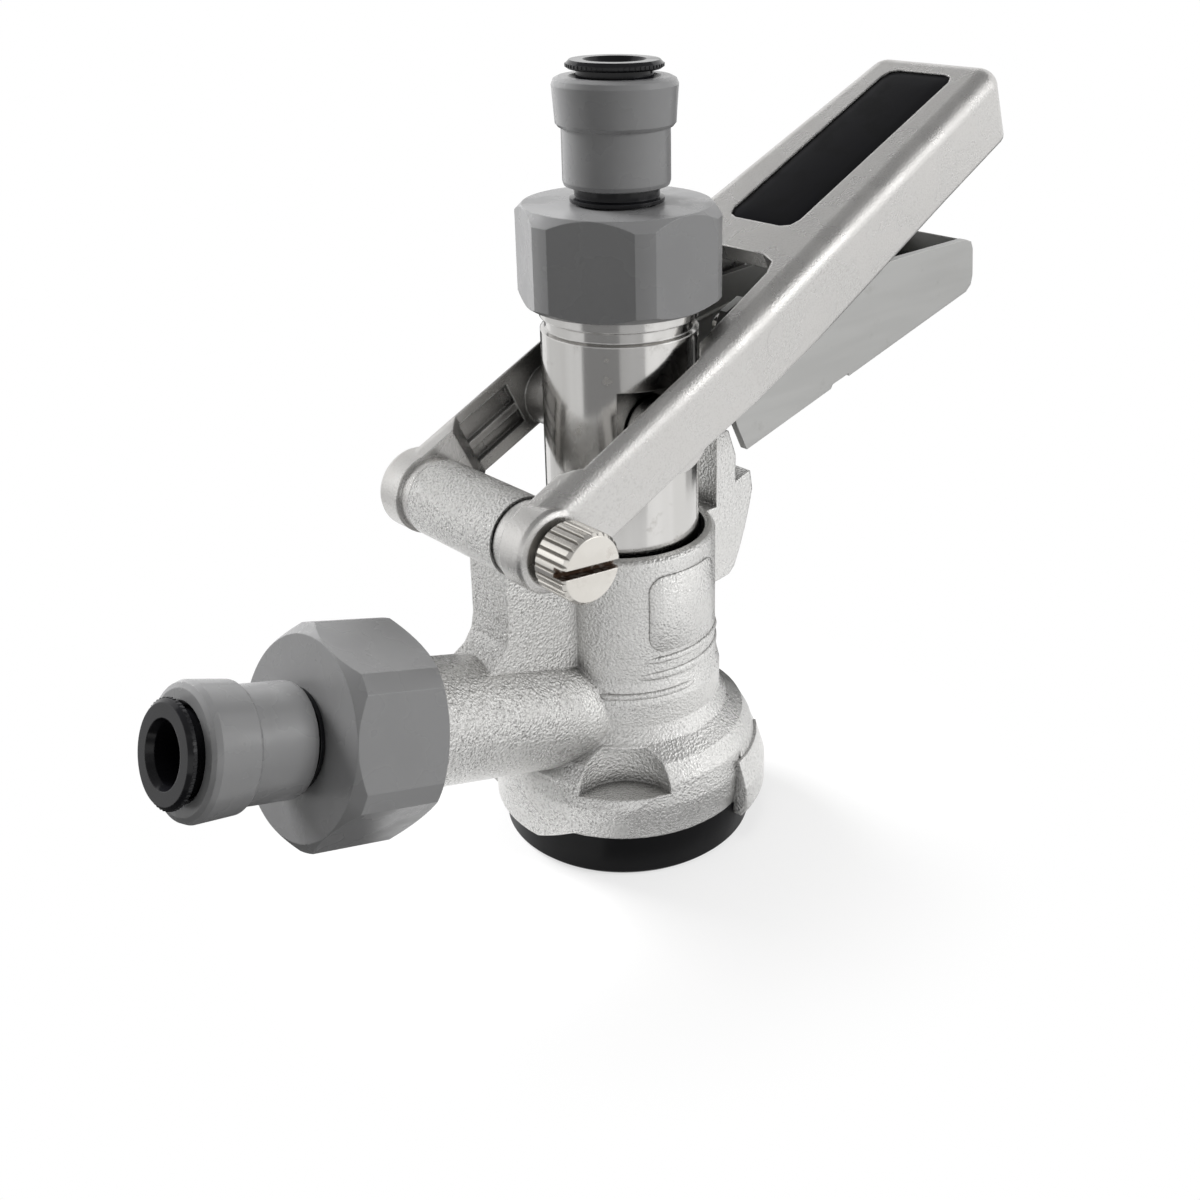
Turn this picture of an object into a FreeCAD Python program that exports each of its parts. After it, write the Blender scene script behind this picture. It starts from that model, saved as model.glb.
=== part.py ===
import FreeCAD, Part
import math
import os

import Sketcher

V = FreeCAD.Vector

doc = FreeCAD.newDocument("KegCoupler")
sheet = doc.addObject("Spreadsheet::Sheet", "Sizes")

# Keg coupler, sliding type, one lever and one gas inlet.
# +Z runs up the probe, the origin is the centre of the underside of the rubber foot,
# -X is the gas inlet and the hinge side, +X is the lever side, Y is the hinge pin.

cells = (
    ("tube_r", 12.0, "probe tube radius"),
    ("run_gap", 0.08, "running clearance of a shaft or a slide, on radius"),
    ("fit_gap", 0.3, "clearance between two moving castings"),
    ("press_gap", 0.02, "clearance between two pieces that are fixed together"),
    ("stroke", 13.35, "probe travel"),
    ("rim_r", 14.64, "barrel radius"),
    ("rim_top", 51.75, "height of the barrel rim"),
    ("rim_in", 13.0, "radius of the wiper recess in the rim"),
    ("rim_depth", 4.4, "depth of the wiper recess"),
    ("waist_z", 31.0, "where the barrel starts to widen"),
    ("bead_r", 15.4, "radius of the step above the flange"),
    ("bead_z", 23.5, "height of the step above the flange"),
    ("flange_out", 0.8, "flange beyond the rubber foot"),
    ("flange_z", 12.5, "height of the largest radius of the flange"),
    ("shoulder_z", 19.0, "height where the flange meets the barrel flare"),
    ("skirt_z", 6.9, "height of the lower metal edge"),
    ("foot_r", 20.5, "outer radius of the rubber foot"),
    ("foot_wall", 3.9, "skirt between the mouth and the outside of the foot"),
    ("mouth_z", 12.0, "depth of the mouth"),
    ("chamber_r", 12.7, "radius of the gas chamber round the probe"),
    ("chamber_z", 26.8, "top of the gas chamber"),
    ("lug_out", 1.5, "bayonet lugs beyond the rubber foot"),
    ("lug_z", 5.2, "lowest edge of the bayonet lugs"),
    ("stop_out", 2.6, "stop at the start of each lug, beyond the rubber foot"),
    ("gas_z", 20.0, "height where the gas axis meets the probe axis"),
    ("gas_tilt", 17.5, "upward tilt of the gas axis, degrees"),
    ("spigot_r", 9.5, "radius of the gas spigot"),
    ("thread_r", 11.45, "radius of the G 5/8 male threads"),
    ("thread_pitch", 1.814, "pitch of the G 5/8 thread"),
    ("thread_len", 9.7, "length of the male threads"),
    ("gas_end", 55.72, "distance of the end of the gas thread along the gas axis"),
    ("gas_bore", 2.9, "radius of the gas passage"),
    ("valve_r", 6.5, "radius of the non-return valve seat"),
    ("hinge_x", -27.4, "hinge axis, along X"),
    ("hinge_z", 61.4, "hinge axis, height"),
    ("hinge_r", 5.9, "radius of the hinge barrel"),
    ("hinge_half", 9.85, "half length of the hinge barrel"),
    ("pin_r", 2.5, "radius of the hinge pin"),
    ("strut_half", 4.35, "half thickness of the strut under the hinge"),
    ("fin_half", 4.0, "half thickness of the catch fin"),
    ("fin_arc", 54.0, "radius of the outer edge of the fin about the hinge"),
    ("fin_in", 17.1, "inner face of the fin"),
    ("probe_end", 17.0, "lower end of the steel probe, lever up"),
    ("probe_bore", 5.0, "radius of the beer passage in the probe"),
    ("neck_z", 33.0, "where the probe narrows"),
    ("neck_r", 8.6, "radius of the narrow part of the probe"),
    ("ring_low", 84.5, "lower edge of the groove under the thread"),
    ("ring_r", 11.3, "radius in the groove under the thread"),
    ("seat_z", 97.8, "top of the probe thread"),
    ("flat_y", 8.55, "distance of the milled flats from the axis"),
    ("flat_low", 64.2, "lower end of the milled flats"),
    ("flat_top", 77.6, "upper end of the milled flats"),
    ("ring_a", 45.6, "height of the upper O-ring"),
    ("ring_b", 41.6, "height of the lower O-ring"),
    ("cord_r", 1.2, "section radius of the probe O-rings"),
    ("ball_r", 5.6, "radius of the check ball"),
    ("ball_bore", 7.0, "radius of the ball chamber"),
    ("ball_seat", 84.0, "height of the ball seat"),
    ("seal_r", 10.6, "radius of the seal at the end of the probe"),
    ("lever_tilt", 25.8, "angle of the lever above the horizontal, degrees"),
    ("lever_len", 119.3, "length of the lever from the hinge"),
    ("lever_half", 17.2, "half width of the lever across the arms"),
    ("tip_in", 4.2, "how far each side of the lever draws in towards the tip"),
    ("taper_from", 42.0, "where the lever starts to taper"),
    ("lever_top", 5.9, "top face of the lever above the hinge line"),
    ("lever_low", 5.6, "lower edge of the arms below the hinge line"),
    ("lever_deep", 7.5, "lower edge of the grip below the hinge line"),
    ("plate", 3.0, "thickness of the top of the grip"),
    ("arm_wall", 2.2, "thickness of the arms beside the barrel"),
    ("mid_wall", 4.6, "thickness of the arms behind the probe"),
    ("channel_wall", 5.9, "thickness of the lever beside the window"),
    ("tip_wall", 3.2, "thickness of the sides of the grip at the tip"),
    ("ear_r", 6.2, "radius of the hinge ears"),
    ("ear_wall", 4.9, "thickness of the hinge ears"),
    ("ear_gap", 0.35, "clearance between the ears and the hinge barrel"),
    ("window_end", 59.8, "end of the window between the arms"),
    ("boss_u", 27.05, "driving boss along the lever"),
    ("boss_v", -2.86, "driving boss above the hinge line"),
    ("boss_r", 5.2, "radius of the driving bosses"),
    ("boss_gap", 0.35, "clearance between the driving bosses and the milled flats"),
    ("label_low", 66.9, "lower end of the black insert"),
    ("label_high", 113.7, "upper end of the black insert"),
    ("label_edge", 5.7, "from the side of the grip at the tip to the black insert"),
    ("label_deep", 1.2, "depth of the recess for the insert"),
    ("pivot_x", 17.3, "trigger pivot, along X"),
    ("pivot_z", 81.9, "trigger pivot, height"),
    ("pivot_r", 2.0, "radius of the trigger pin"),
    ("sheet_gap", 0.4, "clearance between the trigger and the channel at the tip"),
    ("sheet_t", 1.4, "thickness of the trigger sheet"),
    ("knob_r", 5.1, "radius of the knurled head"),
    ("knob_gap", 1.1, "from the lever to the back of the knurled head"),
    ("knob_len", 6.3, "length of the knurled head"),
    ("nut_flat", 14.13, "half width across the flats of the nuts"),
    ("nut_r", 15.51, "radius of the turned corners of the nuts"),
    ("nut_down", 9.4, "lower face of the nut below the sealing face"),
    ("nut_len", 14.84, "length of the nuts"),
    ("nut_hole", 6.3, "radius of the hole through the top of the nuts"),
    ("stem_r", 5.6, "radius of the stem of the fittings"),
    ("neck_len", 2.5, "gap between the nut and the body of the fitting"),
    ("body_r", 7.93, "radius of the body of the fitting"),
    ("sleeve_len", 8.58, "length of the body of the fitting below its collar"),
    ("collar_r", 8.75, "radius of the lower edge of the collar"),
    ("collar_len", 6.98, "length of the collar"),
    ("collar_rt", 9.14, "radius of the upper edge of the collar"),
    ("collet_out", 2.28, "collet beyond the collar"),
    ("collet_r", 7.0, "radius of the collet flange"),
    ("hose_r", 4.0, "radius of the 8 mm tube"),
    ("washer_t", 1.7, "thickness of the sealing washers"),
    ("gas_shift", -42.08, "gas fitting against the beer fitting, along the axis"),
    ("nut_shift", -41.0, "gas nut against the beer nut, along the axis"),
)


# A size keeps its number together with the cells it comes from.
class Size:
    def __init__(self, value, text):
        self.value = float(value)
        self.text = text

    def __add__(self, other):
        other = as_size(other)
        return Size(self.value + other.value, "(%s + %s)" % (self.text, other.text))

    def __radd__(self, other):
        return as_size(other) + self

    def __sub__(self, other):
        other = as_size(other)
        return Size(self.value - other.value, "(%s - %s)" % (self.text, other.text))

    def __rsub__(self, other):
        return as_size(other) - self

    def __mul__(self, other):
        other = as_size(other)
        return Size(self.value * other.value, "(%s * %s)" % (self.text, other.text))

    def __rmul__(self, other):
        return as_size(other) * self

    def __truediv__(self, other):
        other = as_size(other)
        return Size(self.value / other.value, "(%s / %s)" % (self.text, other.text))

    def __neg__(self):
        return Size(-self.value, "(0 - %s)" % self.text)


def as_size(x):
    if isinstance(x, Size):
        return x
    return Size(x, "(%r)" % float(x))


def cosine(angle):
    return Size(math.cos(math.radians(angle.value)), "cos(%s * 1 deg)" % angle.text)


def sine(angle):
    return Size(math.sin(math.radians(angle.value)), "sin(%s * 1 deg)" % angle.text)


class Named:
    pass


s = Named()
for row, (alias, number, note) in enumerate(cells, 1):
    sheet.set("A%d" % row, note)
    sheet.set("B%d" % row, str(number))
    sheet.setAlias("B%d" % row, alias)
    setattr(s, alias, Size(number, "Sizes.%s" % alias))
doc.recompute()

s.tip_half = s.lever_half - s.tip_in
s.arm_in = s.lever_half - s.arm_wall
s.arm_mid = s.lever_half - s.mid_wall
s.channel_half = s.lever_half - s.channel_wall
s.channel_tip = s.tip_half - s.tip_wall
s.ear_step = s.lever_half - s.ear_wall
s.ear_in = s.hinge_half + s.ear_gap
s.boss_in = s.flat_y + s.boss_gap
s.label_half = s.tip_half - s.label_edge
s.sheet_half = s.channel_tip - s.sheet_gap
s.knob_back = s.lever_half + s.knob_gap
s.knob_face = s.knob_back + s.knob_len
s.flange_r = s.foot_r + s.flange_out
s.lug_r = s.foot_r + s.lug_out
s.stop_r = s.foot_r + s.stop_out
s.mouth_r = s.foot_r - s.foot_wall
s.nut_low = s.seat_z - s.nut_down
s.nut_high = s.nut_low + s.nut_len
s.body_low = s.nut_high + s.neck_len
s.collar_low = s.body_low + s.sleeve_len
s.collar_top = s.collar_low + s.collar_len
s.collet_face = s.collar_top + s.collet_out


# Sketches and features
def new_body(label):
    body = doc.addObject("PartDesign::Body", label)
    body.Label = label
    return body


def origin_plane(body, role):
    for feature in body.Origin.OriginFeatures:
        if feature.Role == role:
            return feature
    raise ValueError(role)


def new_sketch(body, name, role="XZ_Plane", turn=0.0, lift=0.0):
    sketch = body.newObject("Sketcher::SketchObject", name)
    sketch.AttachmentSupport = [(origin_plane(body, role), "")]
    sketch.MapMode = "FlatFace"
    if role == "XZ_Plane" and turn:
        sketch.AttachmentOffset = FreeCAD.Placement(V(0, 0, 0), FreeCAD.Rotation(V(0, 1, 0), turn))
    if lift:
        lift = as_size(lift)
        sketch.AttachmentOffset = FreeCAD.Placement(V(0, 0, lift.value), FreeCAD.Rotation())
        sketch.setExpression("AttachmentOffset.Base.z", lift.text)
    return sketch


def bind(sketch, kind, first, second, x):
    x = as_size(x)
    k = sketch.addConstraint(Sketcher.Constraint(kind, *first, *second, x.value))
    if "Sizes" in x.text:
        sketch.setExpression("Constraints[%d]" % k, x.text)


def outline(sketch, corners):
    corners = [(as_size(x), as_size(y)) for x, y in corners]
    start = sketch.GeometryCount
    count = len(corners)
    lines = []
    for i in range(count):
        a = corners[i]
        b = corners[(i + 1) % count]
        lines.append(Part.LineSegment(V(a[0].value, a[1].value, 0), V(b[0].value, b[1].value, 0)))
    sketch.addGeometry(lines, False)
    joins = []
    for i in range(count):
        joins.append(Sketcher.Constraint("Coincident", start + i, 2, start + (i + 1) % count, 1))
    sketch.addConstraint(joins)
    for i, (x, y) in enumerate(corners):
        bind(sketch, "DistanceX", (-1, 1), (start + i, 1), x)
        bind(sketch, "DistanceY", (-1, 1), (start + i, 1), y)
    return sketch


def ring(sketch, x, y, radius):
    x, y, radius = as_size(x), as_size(y), as_size(radius)
    k = sketch.addGeometry(Part.Circle(V(x.value, y.value, 0), V(0, 0, 1), radius.value), False)
    bind(sketch, "DistanceX", (-1, 1), (k, 3), x)
    bind(sketch, "DistanceY", (-1, 1), (k, 3), y)
    c = sketch.addConstraint(Sketcher.Constraint("Radius", k, radius.value))
    if "Sizes" in radius.text:
        sketch.setExpression("Constraints[%d]" % c, radius.text)
    return sketch


def axis_line(sketch, a, b):
    ax, ay, bx, by = as_size(a[0]), as_size(a[1]), as_size(b[0]), as_size(b[1])
    line = Part.LineSegment(V(ax.value, ay.value, 0), V(bx.value, by.value, 0))
    k = sketch.addGeometry(line, True)
    bind(sketch, "DistanceX", (-1, 1), (k, 1), ax)
    bind(sketch, "DistanceY", (-1, 1), (k, 1), ay)
    bind(sketch, "DistanceX", (-1, 1), (k, 2), bx)
    bind(sketch, "DistanceY", (-1, 1), (k, 2), by)
    return sketch


def revolve(body, sketch, kind="Revolution", axis="V_Axis", angle=360.0, backwards=False):
    feature = body.newObject("PartDesign::" + kind, sketch.Name + "_turn")
    feature.Profile = sketch
    feature.ReferenceAxis = (sketch, [axis])
    feature.Angle = angle
    feature.Reversed = backwards
    sketch.Visibility = False
    doc.recompute()
    return feature


def extrude(body, sketch, length, kind="Pad", both=True, backwards=False):
    feature = body.newObject("PartDesign::" + kind, sketch.Name + "_run")
    feature.Profile = sketch
    length = as_size(length)
    feature.Length = length.value
    if "Sizes" in length.text:
        feature.setExpression("Length", length.text)
    if both:
        feature.SideType = "Symmetric"
    feature.Reversed = backwards
    sketch.Visibility = False
    doc.recompute()
    return feature


def repeat(body, feature, count, angle=360.0, axis="Z_Axis"):
    pattern = body.newObject("PartDesign::PolarPattern", feature.Name + "_set")
    pattern.Originals = [feature]
    for item in body.Origin.OriginFeatures:
        if item.Role == axis:
            pattern.Axis = (item, [""])
    pattern.Angle = angle
    pattern.Occurrences = count
    body.Tip = pattern
    doc.recompute()
    return pattern


def near_edges(shape, test):
    found = []
    for i, edge in enumerate(shape.Edges, 1):
        if test(edge):
            found.append("Edge%d" % i)
    return found


def round_edges(body, base, radius, test, kind="Fillet"):
    names = near_edges(base.Shape, test)
    if not names:
        return base
    feature = body.newObject("PartDesign::" + kind, base.Name + "_soft")
    feature.Base = (base, names)
    radius = as_size(radius)
    if kind == "Fillet":
        feature.Radius = radius.value
    else:
        feature.Size = radius.value
    doc.recompute()
    return feature


def turned(label, corners):
    body = new_body(label)
    sketch = outline(new_sketch(body, label + "_section"), corners)
    revolve(body, sketch)
    return body


# The gas axis leaves the probe axis at gas_z and climbs by gas_tilt towards -X.
tilt = math.radians(s.gas_tilt.value)
gas_dir = V(-math.cos(tilt), 0, math.sin(tilt))
gas_turn = FreeCAD.Rotation(V(0, 0, 1), gas_dir)


def on_gas_axis(body, shift):
    body.Placement = FreeCAD.Placement(V(0, 0, s.gas_z.value) + gas_dir * shift.value, gas_turn)


def gas_point(along, out):
    x = -(along * cosine(s.gas_tilt)) + out * sine(s.gas_tilt)
    z = s.gas_z + along * sine(s.gas_tilt) + out * cosine(s.gas_tilt)
    return (x, z)


parts = {}

# Cast body: lugs first, then the barrel and flange over them
body = new_body("body")
lug = new_sketch(body, "lug_ring")
outline(
    lug,
    (
        (s.foot_r + 0.15, s.lug_z),
        (s.lug_r, s.lug_z),
        (s.lug_r, s.flange_z + 0.5),
        (s.flange_r - 0.8, s.flange_z + 4.0),
        (s.foot_r - 2.0, s.flange_z + 4.0),
        (s.foot_r - 2.0, s.skirt_z + 2.6),
        (s.foot_r + 0.15, s.skirt_z + 2.6),
    ),
)
revolve(body, lug)

# The lower edge of each lug climbs like a cam and ends in an open gap.
ramp = new_sketch(body, "lug_ramp", turn=137.0)
outline(
    ramp,
    (
        (s.lug_r * -0.64, s.lug_z - 3.0),
        (s.lug_r * -0.64, s.lug_z),
        (s.lug_r * 0.47, s.flange_z + 4.6),
        (s.lug_r * 0.84, s.flange_z + 4.6),
        (s.lug_r * 0.84, s.lug_z - 3.0),
    ),
)
cut = extrude(body, ramp, s.lug_r + 8.0, "Pocket", both=False, backwards=True)
repeat(body, cut, 2)

stop = new_sketch(body, "lug_stop", turn=-76.0)
outline(
    stop,
    (
        (s.foot_r + 0.15, s.lug_z - 0.4),
        (s.stop_r - 0.9, s.lug_z - 0.4),
        (s.stop_r, s.lug_z + 0.8),
        (s.stop_r, s.flange_z - 2.5),
        (s.stop_r - 1.4, s.flange_z + 2.2),
        (s.foot_r - 2.0, s.flange_z + 2.2),
        (s.foot_r - 2.0, s.skirt_z + 2.6),
        (s.foot_r + 0.15, s.skirt_z + 2.6),
    ),
)
stops = revolve(body, stop, angle=36.0)
repeat(body, stops, 2)

shell = new_sketch(body, "barrel")
outline(
    shell,
    (
        (5.0, s.rim_top),
        (s.rim_r - 0.5, s.rim_top),
        (s.rim_r, s.rim_top - 0.5),
        (s.rim_r, s.waist_z),
        (s.bead_r - 0.3, s.waist_z - 2.2),
        (s.bead_r, s.waist_z - 3.4),
        (s.bead_r, s.bead_z),
        (s.bead_r + 1.2, s.bead_z - 2.2),
        (s.flange_r - 2.0, s.shoulder_z),
        (s.flange_r - 0.5, s.shoulder_z - 2.8),
        (s.flange_r, s.flange_z),
        (s.flange_r - 0.1, s.flange_z - 3.0),
        (s.foot_r + 0.1, s.skirt_z),
        (5.0, s.skirt_z),
    ),
)
revolve(body, shell)

strut = new_sketch(body, "strut")
outline(
    strut,
    (
        (s.hinge_x + 0.7, s.hinge_z),
        (s.hinge_x + 0.7, s.hinge_z - 17.0),
        (s.hinge_x + 0.2, s.hinge_z - 19.6),
        (s.hinge_x - 1.2, s.hinge_z - 21.6),
        (s.hinge_x - 3.6, s.hinge_z - 23.0),
        (s.hinge_x - 6.6, s.hinge_z - 23.2),
        (s.hinge_x - 6.6, s.hinge_z - 28.0),
        (-(s.rim_r - 2.0), s.gas_z),
        (-(s.rim_r - 2.0), s.rim_top - 1.2),
        (-(s.rim_r + 0.6), s.rim_top - 0.6),
        (s.hinge_x + 5.2, s.hinge_z - 1.5),
    ),
)
extrude(body, strut, s.strut_half * 2)

knuckle = new_sketch(body, "knuckle")
ring(knuckle, s.hinge_x, s.hinge_z, s.hinge_r)
extrude(body, knuckle, s.hinge_half * 2)

spigot = new_sketch(body, "spigot")
axis_line(spigot, gas_point(as_size(0), as_size(0)), gas_point(as_size(10), as_size(0)))
thread_start = s.gas_end - s.thread_len + 1.9
corners = [
    gas_point(as_size(12), as_size(0)),
    gas_point(as_size(12), s.spigot_r),
    gas_point(thread_start - 0.9, s.spigot_r),
    gas_point(thread_start, s.thread_r - 0.95),
]
for i in range(4):
    left = thread_start + s.thread_pitch * i
    corners.append(gas_point(left + s.thread_pitch * 0.35, s.thread_r - 0.95))
    corners.append(gas_point(left + s.thread_pitch * 0.6, s.thread_r))
    corners.append(gas_point(left + s.thread_pitch * 0.75, s.thread_r))
    corners.append(gas_point(left + s.thread_pitch, s.thread_r - 0.95))
corners.append(gas_point(s.gas_end, s.thread_r - 1.1))
corners.append(gas_point(s.gas_end, as_size(0)))
outline(spigot, corners)
revolve(body, spigot, axis="Axis0")

# Catch fin: its outer edge is an arc about the hinge, with a hooked tooth at the top
fin = new_sketch(body, "fin")
arc = []
for degrees in (-10.6, -14.0, -18.0, -22.0, -25.2):
    turn = math.radians(degrees)
    arc.append((s.hinge_x + s.fin_arc * math.cos(turn), s.hinge_z + s.fin_arc * math.sin(turn)))
outline(
    fin,
    [
        (s.rim_r - 1.4, s.rim_top - 1.2),
        (s.fin_in, s.rim_top - 1.2),
        (s.fin_in, s.rim_top + 12.4),
        (s.hinge_x + 47.2, s.rim_top + 11.6),
        (s.hinge_x + 48.9, s.rim_top + 7.0),
        (s.hinge_x + 49.0, s.rim_top + 2.1),
        (s.hinge_x + 52.5, s.rim_top + 3.1),
    ]
    + arc
    + [
        (s.hinge_x + 47.6, s.hinge_z - 24.1),
        (s.hinge_x + 45.2, s.hinge_z - 24.4),
        (s.rim_r - 1.4, s.hinge_z - 24.4),
    ],
)
extrude(body, fin, s.fin_half * 2)

# A scallop cast into the top of the flange, and the hollow under the spigot
scallop = new_sketch(body, "scallop", role="XY_Plane", lift=s.flange_z + 2.0)
reach = s.flange_r + 3.2
ring(scallop, reach * math.cos(math.radians(227.0)), reach * math.sin(math.radians(227.0)), 8.6)
extrude(body, scallop, 6.4, "Pocket", both=False, backwards=True)

hollow = new_sketch(body, "hollow", turn=285.0)
hollow.AttachmentOffset = FreeCAD.Placement(
    FreeCAD.Rotation(V(0, 1, 0), 285.0).multVec(V(0, 0, -(s.lug_r.value - 3.0))),
    FreeCAD.Rotation(V(0, 1, 0), 285.0),
)
outline(
    hollow,
    (
        (-3.6, s.lug_z + 8.2),
        (-3.8, s.lug_z + 4.6),
        (5.2, s.lug_z + 2.9),
        (1.6, s.lug_z + 6.8),
    ),
)
extrude(body, hollow, 9.0, "Pocket", both=False, backwards=False)

# Inside: mouth, gas chamber, probe bore and wiper recess
inside = new_sketch(body, "inside")
outline(
    inside,
    (
        (0, 0),
        (s.mouth_r, 0),
        (s.mouth_r, s.mouth_z),
        (s.chamber_r, s.mouth_z + 2.0),
        (s.chamber_r, s.chamber_z - 0.6),
        (s.tube_r + s.run_gap, s.chamber_z),
        (s.tube_r + s.run_gap, s.rim_top - s.rim_depth),
        (s.rim_in, s.rim_top - s.rim_depth + 0.5),
        (s.rim_in, s.rim_top + 30.0),
        (0, s.rim_top + 30.0),
    ),
)
revolve(body, inside, "Groove")

seat = new_sketch(body, "foot_seat")
outline(
    seat,
    (
        (s.mouth_r + 0.7, s.skirt_z - 3.0),
        (s.foot_r - 1.5, s.skirt_z - 3.0),
        (s.foot_r - 1.5, s.skirt_z + 2.2),
        (s.mouth_r + 0.7, s.skirt_z + 2.2),
    ),
)
revolve(body, seat, "Groove")

passage = new_sketch(body, "gas_passage")
axis_line(passage, gas_point(as_size(0), as_size(0)), gas_point(as_size(10), as_size(0)))
outline(
    passage,
    (
        gas_point(as_size(8), as_size(0)),
        gas_point(as_size(8), s.gas_bore),
        gas_point(s.gas_end - 9.7, s.gas_bore),
        gas_point(s.gas_end - 9.7, s.valve_r),
        gas_point(s.gas_end + 2.0, s.valve_r),
        gas_point(s.gas_end + 2.0, as_size(0)),
    ),
)
revolve(body, passage, "Groove", axis="Axis0")

pin_hole = new_sketch(body, "pin_hole")
ring(pin_hole, s.hinge_x, s.hinge_z, s.pin_r + s.run_gap)
extrude(body, pin_hole, s.hinge_half * 4, "Pocket")
parts["body"] = body

# Rubber foot with a lip that is pressed into the skirt
g = s.press_gap
parts["foot_seal"] = turned(
    "foot_seal",
    (
        (s.mouth_r + 0.2, 0),
        (s.foot_r - 0.6, 0),
        (s.foot_r, 0.6),
        (s.foot_r, s.skirt_z - g),
        (s.foot_r - 1.5 - g, s.skirt_z - g),
        (s.foot_r - 1.5 - g, s.skirt_z + 2.2 - g),
        (s.mouth_r + 0.7 + g, s.skirt_z + 2.2 - g),
        (s.mouth_r + 0.7 + g, s.skirt_z - g),
        (s.mouth_r + 0.2, s.skirt_z - g),
    ),
)

# Steel probe: narrow foot, O-ring grooves, milled flats, groove, collar and thread
probe = new_body("probe")
section = [
    (s.probe_bore, s.probe_end),
    (s.neck_r, s.probe_end),
    (s.neck_r, s.neck_z - 2.0),
    (s.tube_r, s.neck_z),
]
for middle in (s.ring_b, s.ring_a):
    section += [
        (s.tube_r, middle - s.cord_r * 1.12),
        (s.tube_r - s.cord_r * 1.7, middle - s.cord_r * 1.12),
        (s.tube_r - s.cord_r * 1.7, middle + s.cord_r * 1.12),
        (s.tube_r, middle + s.cord_r * 1.12),
    ]
section += [
    (s.tube_r, s.ring_low),
    (s.ring_r, s.ring_low + 0.3),
    (s.ring_r, s.ring_low + 1.8),
    (s.tube_r + 0.05, s.ring_low + 2.1),
    (s.tube_r + 0.05, s.nut_low - 0.3),
    (s.thread_r - 0.95, s.nut_low - 0.3),
]
for i in range(5):
    low = s.nut_low + s.thread_pitch * i
    section += [
        (s.thread_r - 0.95, low + s.thread_pitch * 0.3),
        (s.thread_r, low + s.thread_pitch * 0.55),
        (s.thread_r, low + s.thread_pitch * 0.7),
        (s.thread_r - 0.95, low + s.thread_pitch * 0.95),
    ]
section += [
    (s.thread_r - 0.95, s.seat_z),
    (s.ball_bore, s.seat_z),
    (s.ball_bore, s.ball_seat + 2.0),
    (s.probe_bore, s.ball_seat),
]
revolve(probe, outline(new_sketch(probe, "probe_section"), section))
for side in (1, -1):
    flats = new_sketch(probe, "flat_%s" % ("left" if side > 0 else "right"), role="XY_Plane", lift=s.flat_low)
    edge = s.tube_r + 2.0
    outline(
        flats,
        (
            (-edge, s.flat_y * side),
            (edge, s.flat_y * side),
            (edge, edge * side),
            (-edge, edge * side),
        ),
    )
    extrude(probe, flats, s.flat_top - s.flat_low, "Pocket", both=False, backwards=True)
parts["probe"] = probe


def torus(label, middle, core, cord):
    shape = doc.addObject("Part::Torus", label)
    shape.Label = label
    middle, core, cord = as_size(middle), as_size(core), as_size(cord)
    shape.setExpression("Radius1", core.text)
    shape.setExpression("Radius2", cord.text)
    shape.Placement = FreeCAD.Placement(V(0, 0, middle.value), FreeCAD.Rotation())
    shape.setExpression("Placement.Base.z", middle.text)
    return shape


# The O-rings are drawn squeezed, so they stay inside the bore.
core = s.tube_r - s.cord_r * 0.86
parts["probe_oring_upper"] = torus("probe_oring_upper", s.ring_a, core, s.cord_r * 0.82)
parts["probe_oring_lower"] = torus("probe_oring_lower", s.ring_b, core, s.cord_r * 0.82)

parts["probe_seal"] = turned(
    "probe_seal",
    (
        (s.probe_bore + 0.2, s.probe_end - 2.4),
        (s.seal_r - 1.2, s.probe_end - 2.4),
        (s.seal_r, s.probe_end - 1.2),
        (s.seal_r, s.probe_end + 3.4),
        (s.neck_r + g, s.probe_end + 4.4),
        (s.neck_r + g, s.probe_end - g),
        (s.probe_bore + 0.2, s.probe_end - g),
    ),
)

ball = doc.addObject("Part::Sphere", "check_ball")
ball.Label = "check_ball"
ball.setExpression("Radius", s.ball_r.text)
drop = (s.ball_r * s.ball_r - s.probe_bore * s.probe_bore).value
lift = s.ball_seat.value + math.sqrt(max(drop, 0.0)) + 0.75
ball.Placement = FreeCAD.Placement(V(0, 0, lift), FreeCAD.Rotation())
parts["check_ball"] = ball

cage = turned(
    "ball_cage",
    (
        (s.ball_bore * 0.42, s.seat_z - 2.3),
        (s.ball_bore - g, s.seat_z - 2.3),
        (s.ball_bore - g, s.seat_z - 0.6),
        (s.ball_bore * 0.42, s.seat_z - 0.6),
    ),
)
notch = new_sketch(cage, "cage_notch", role="XY_Plane", lift=s.seat_z - 3.0)
ring(notch, s.ball_bore * 0.66, 0, s.ball_bore * 0.17)
cut = extrude(cage, notch, 4.0, "Pocket", both=False, backwards=True)
repeat(cage, cut, 6)
parts["ball_cage"] = cage


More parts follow.
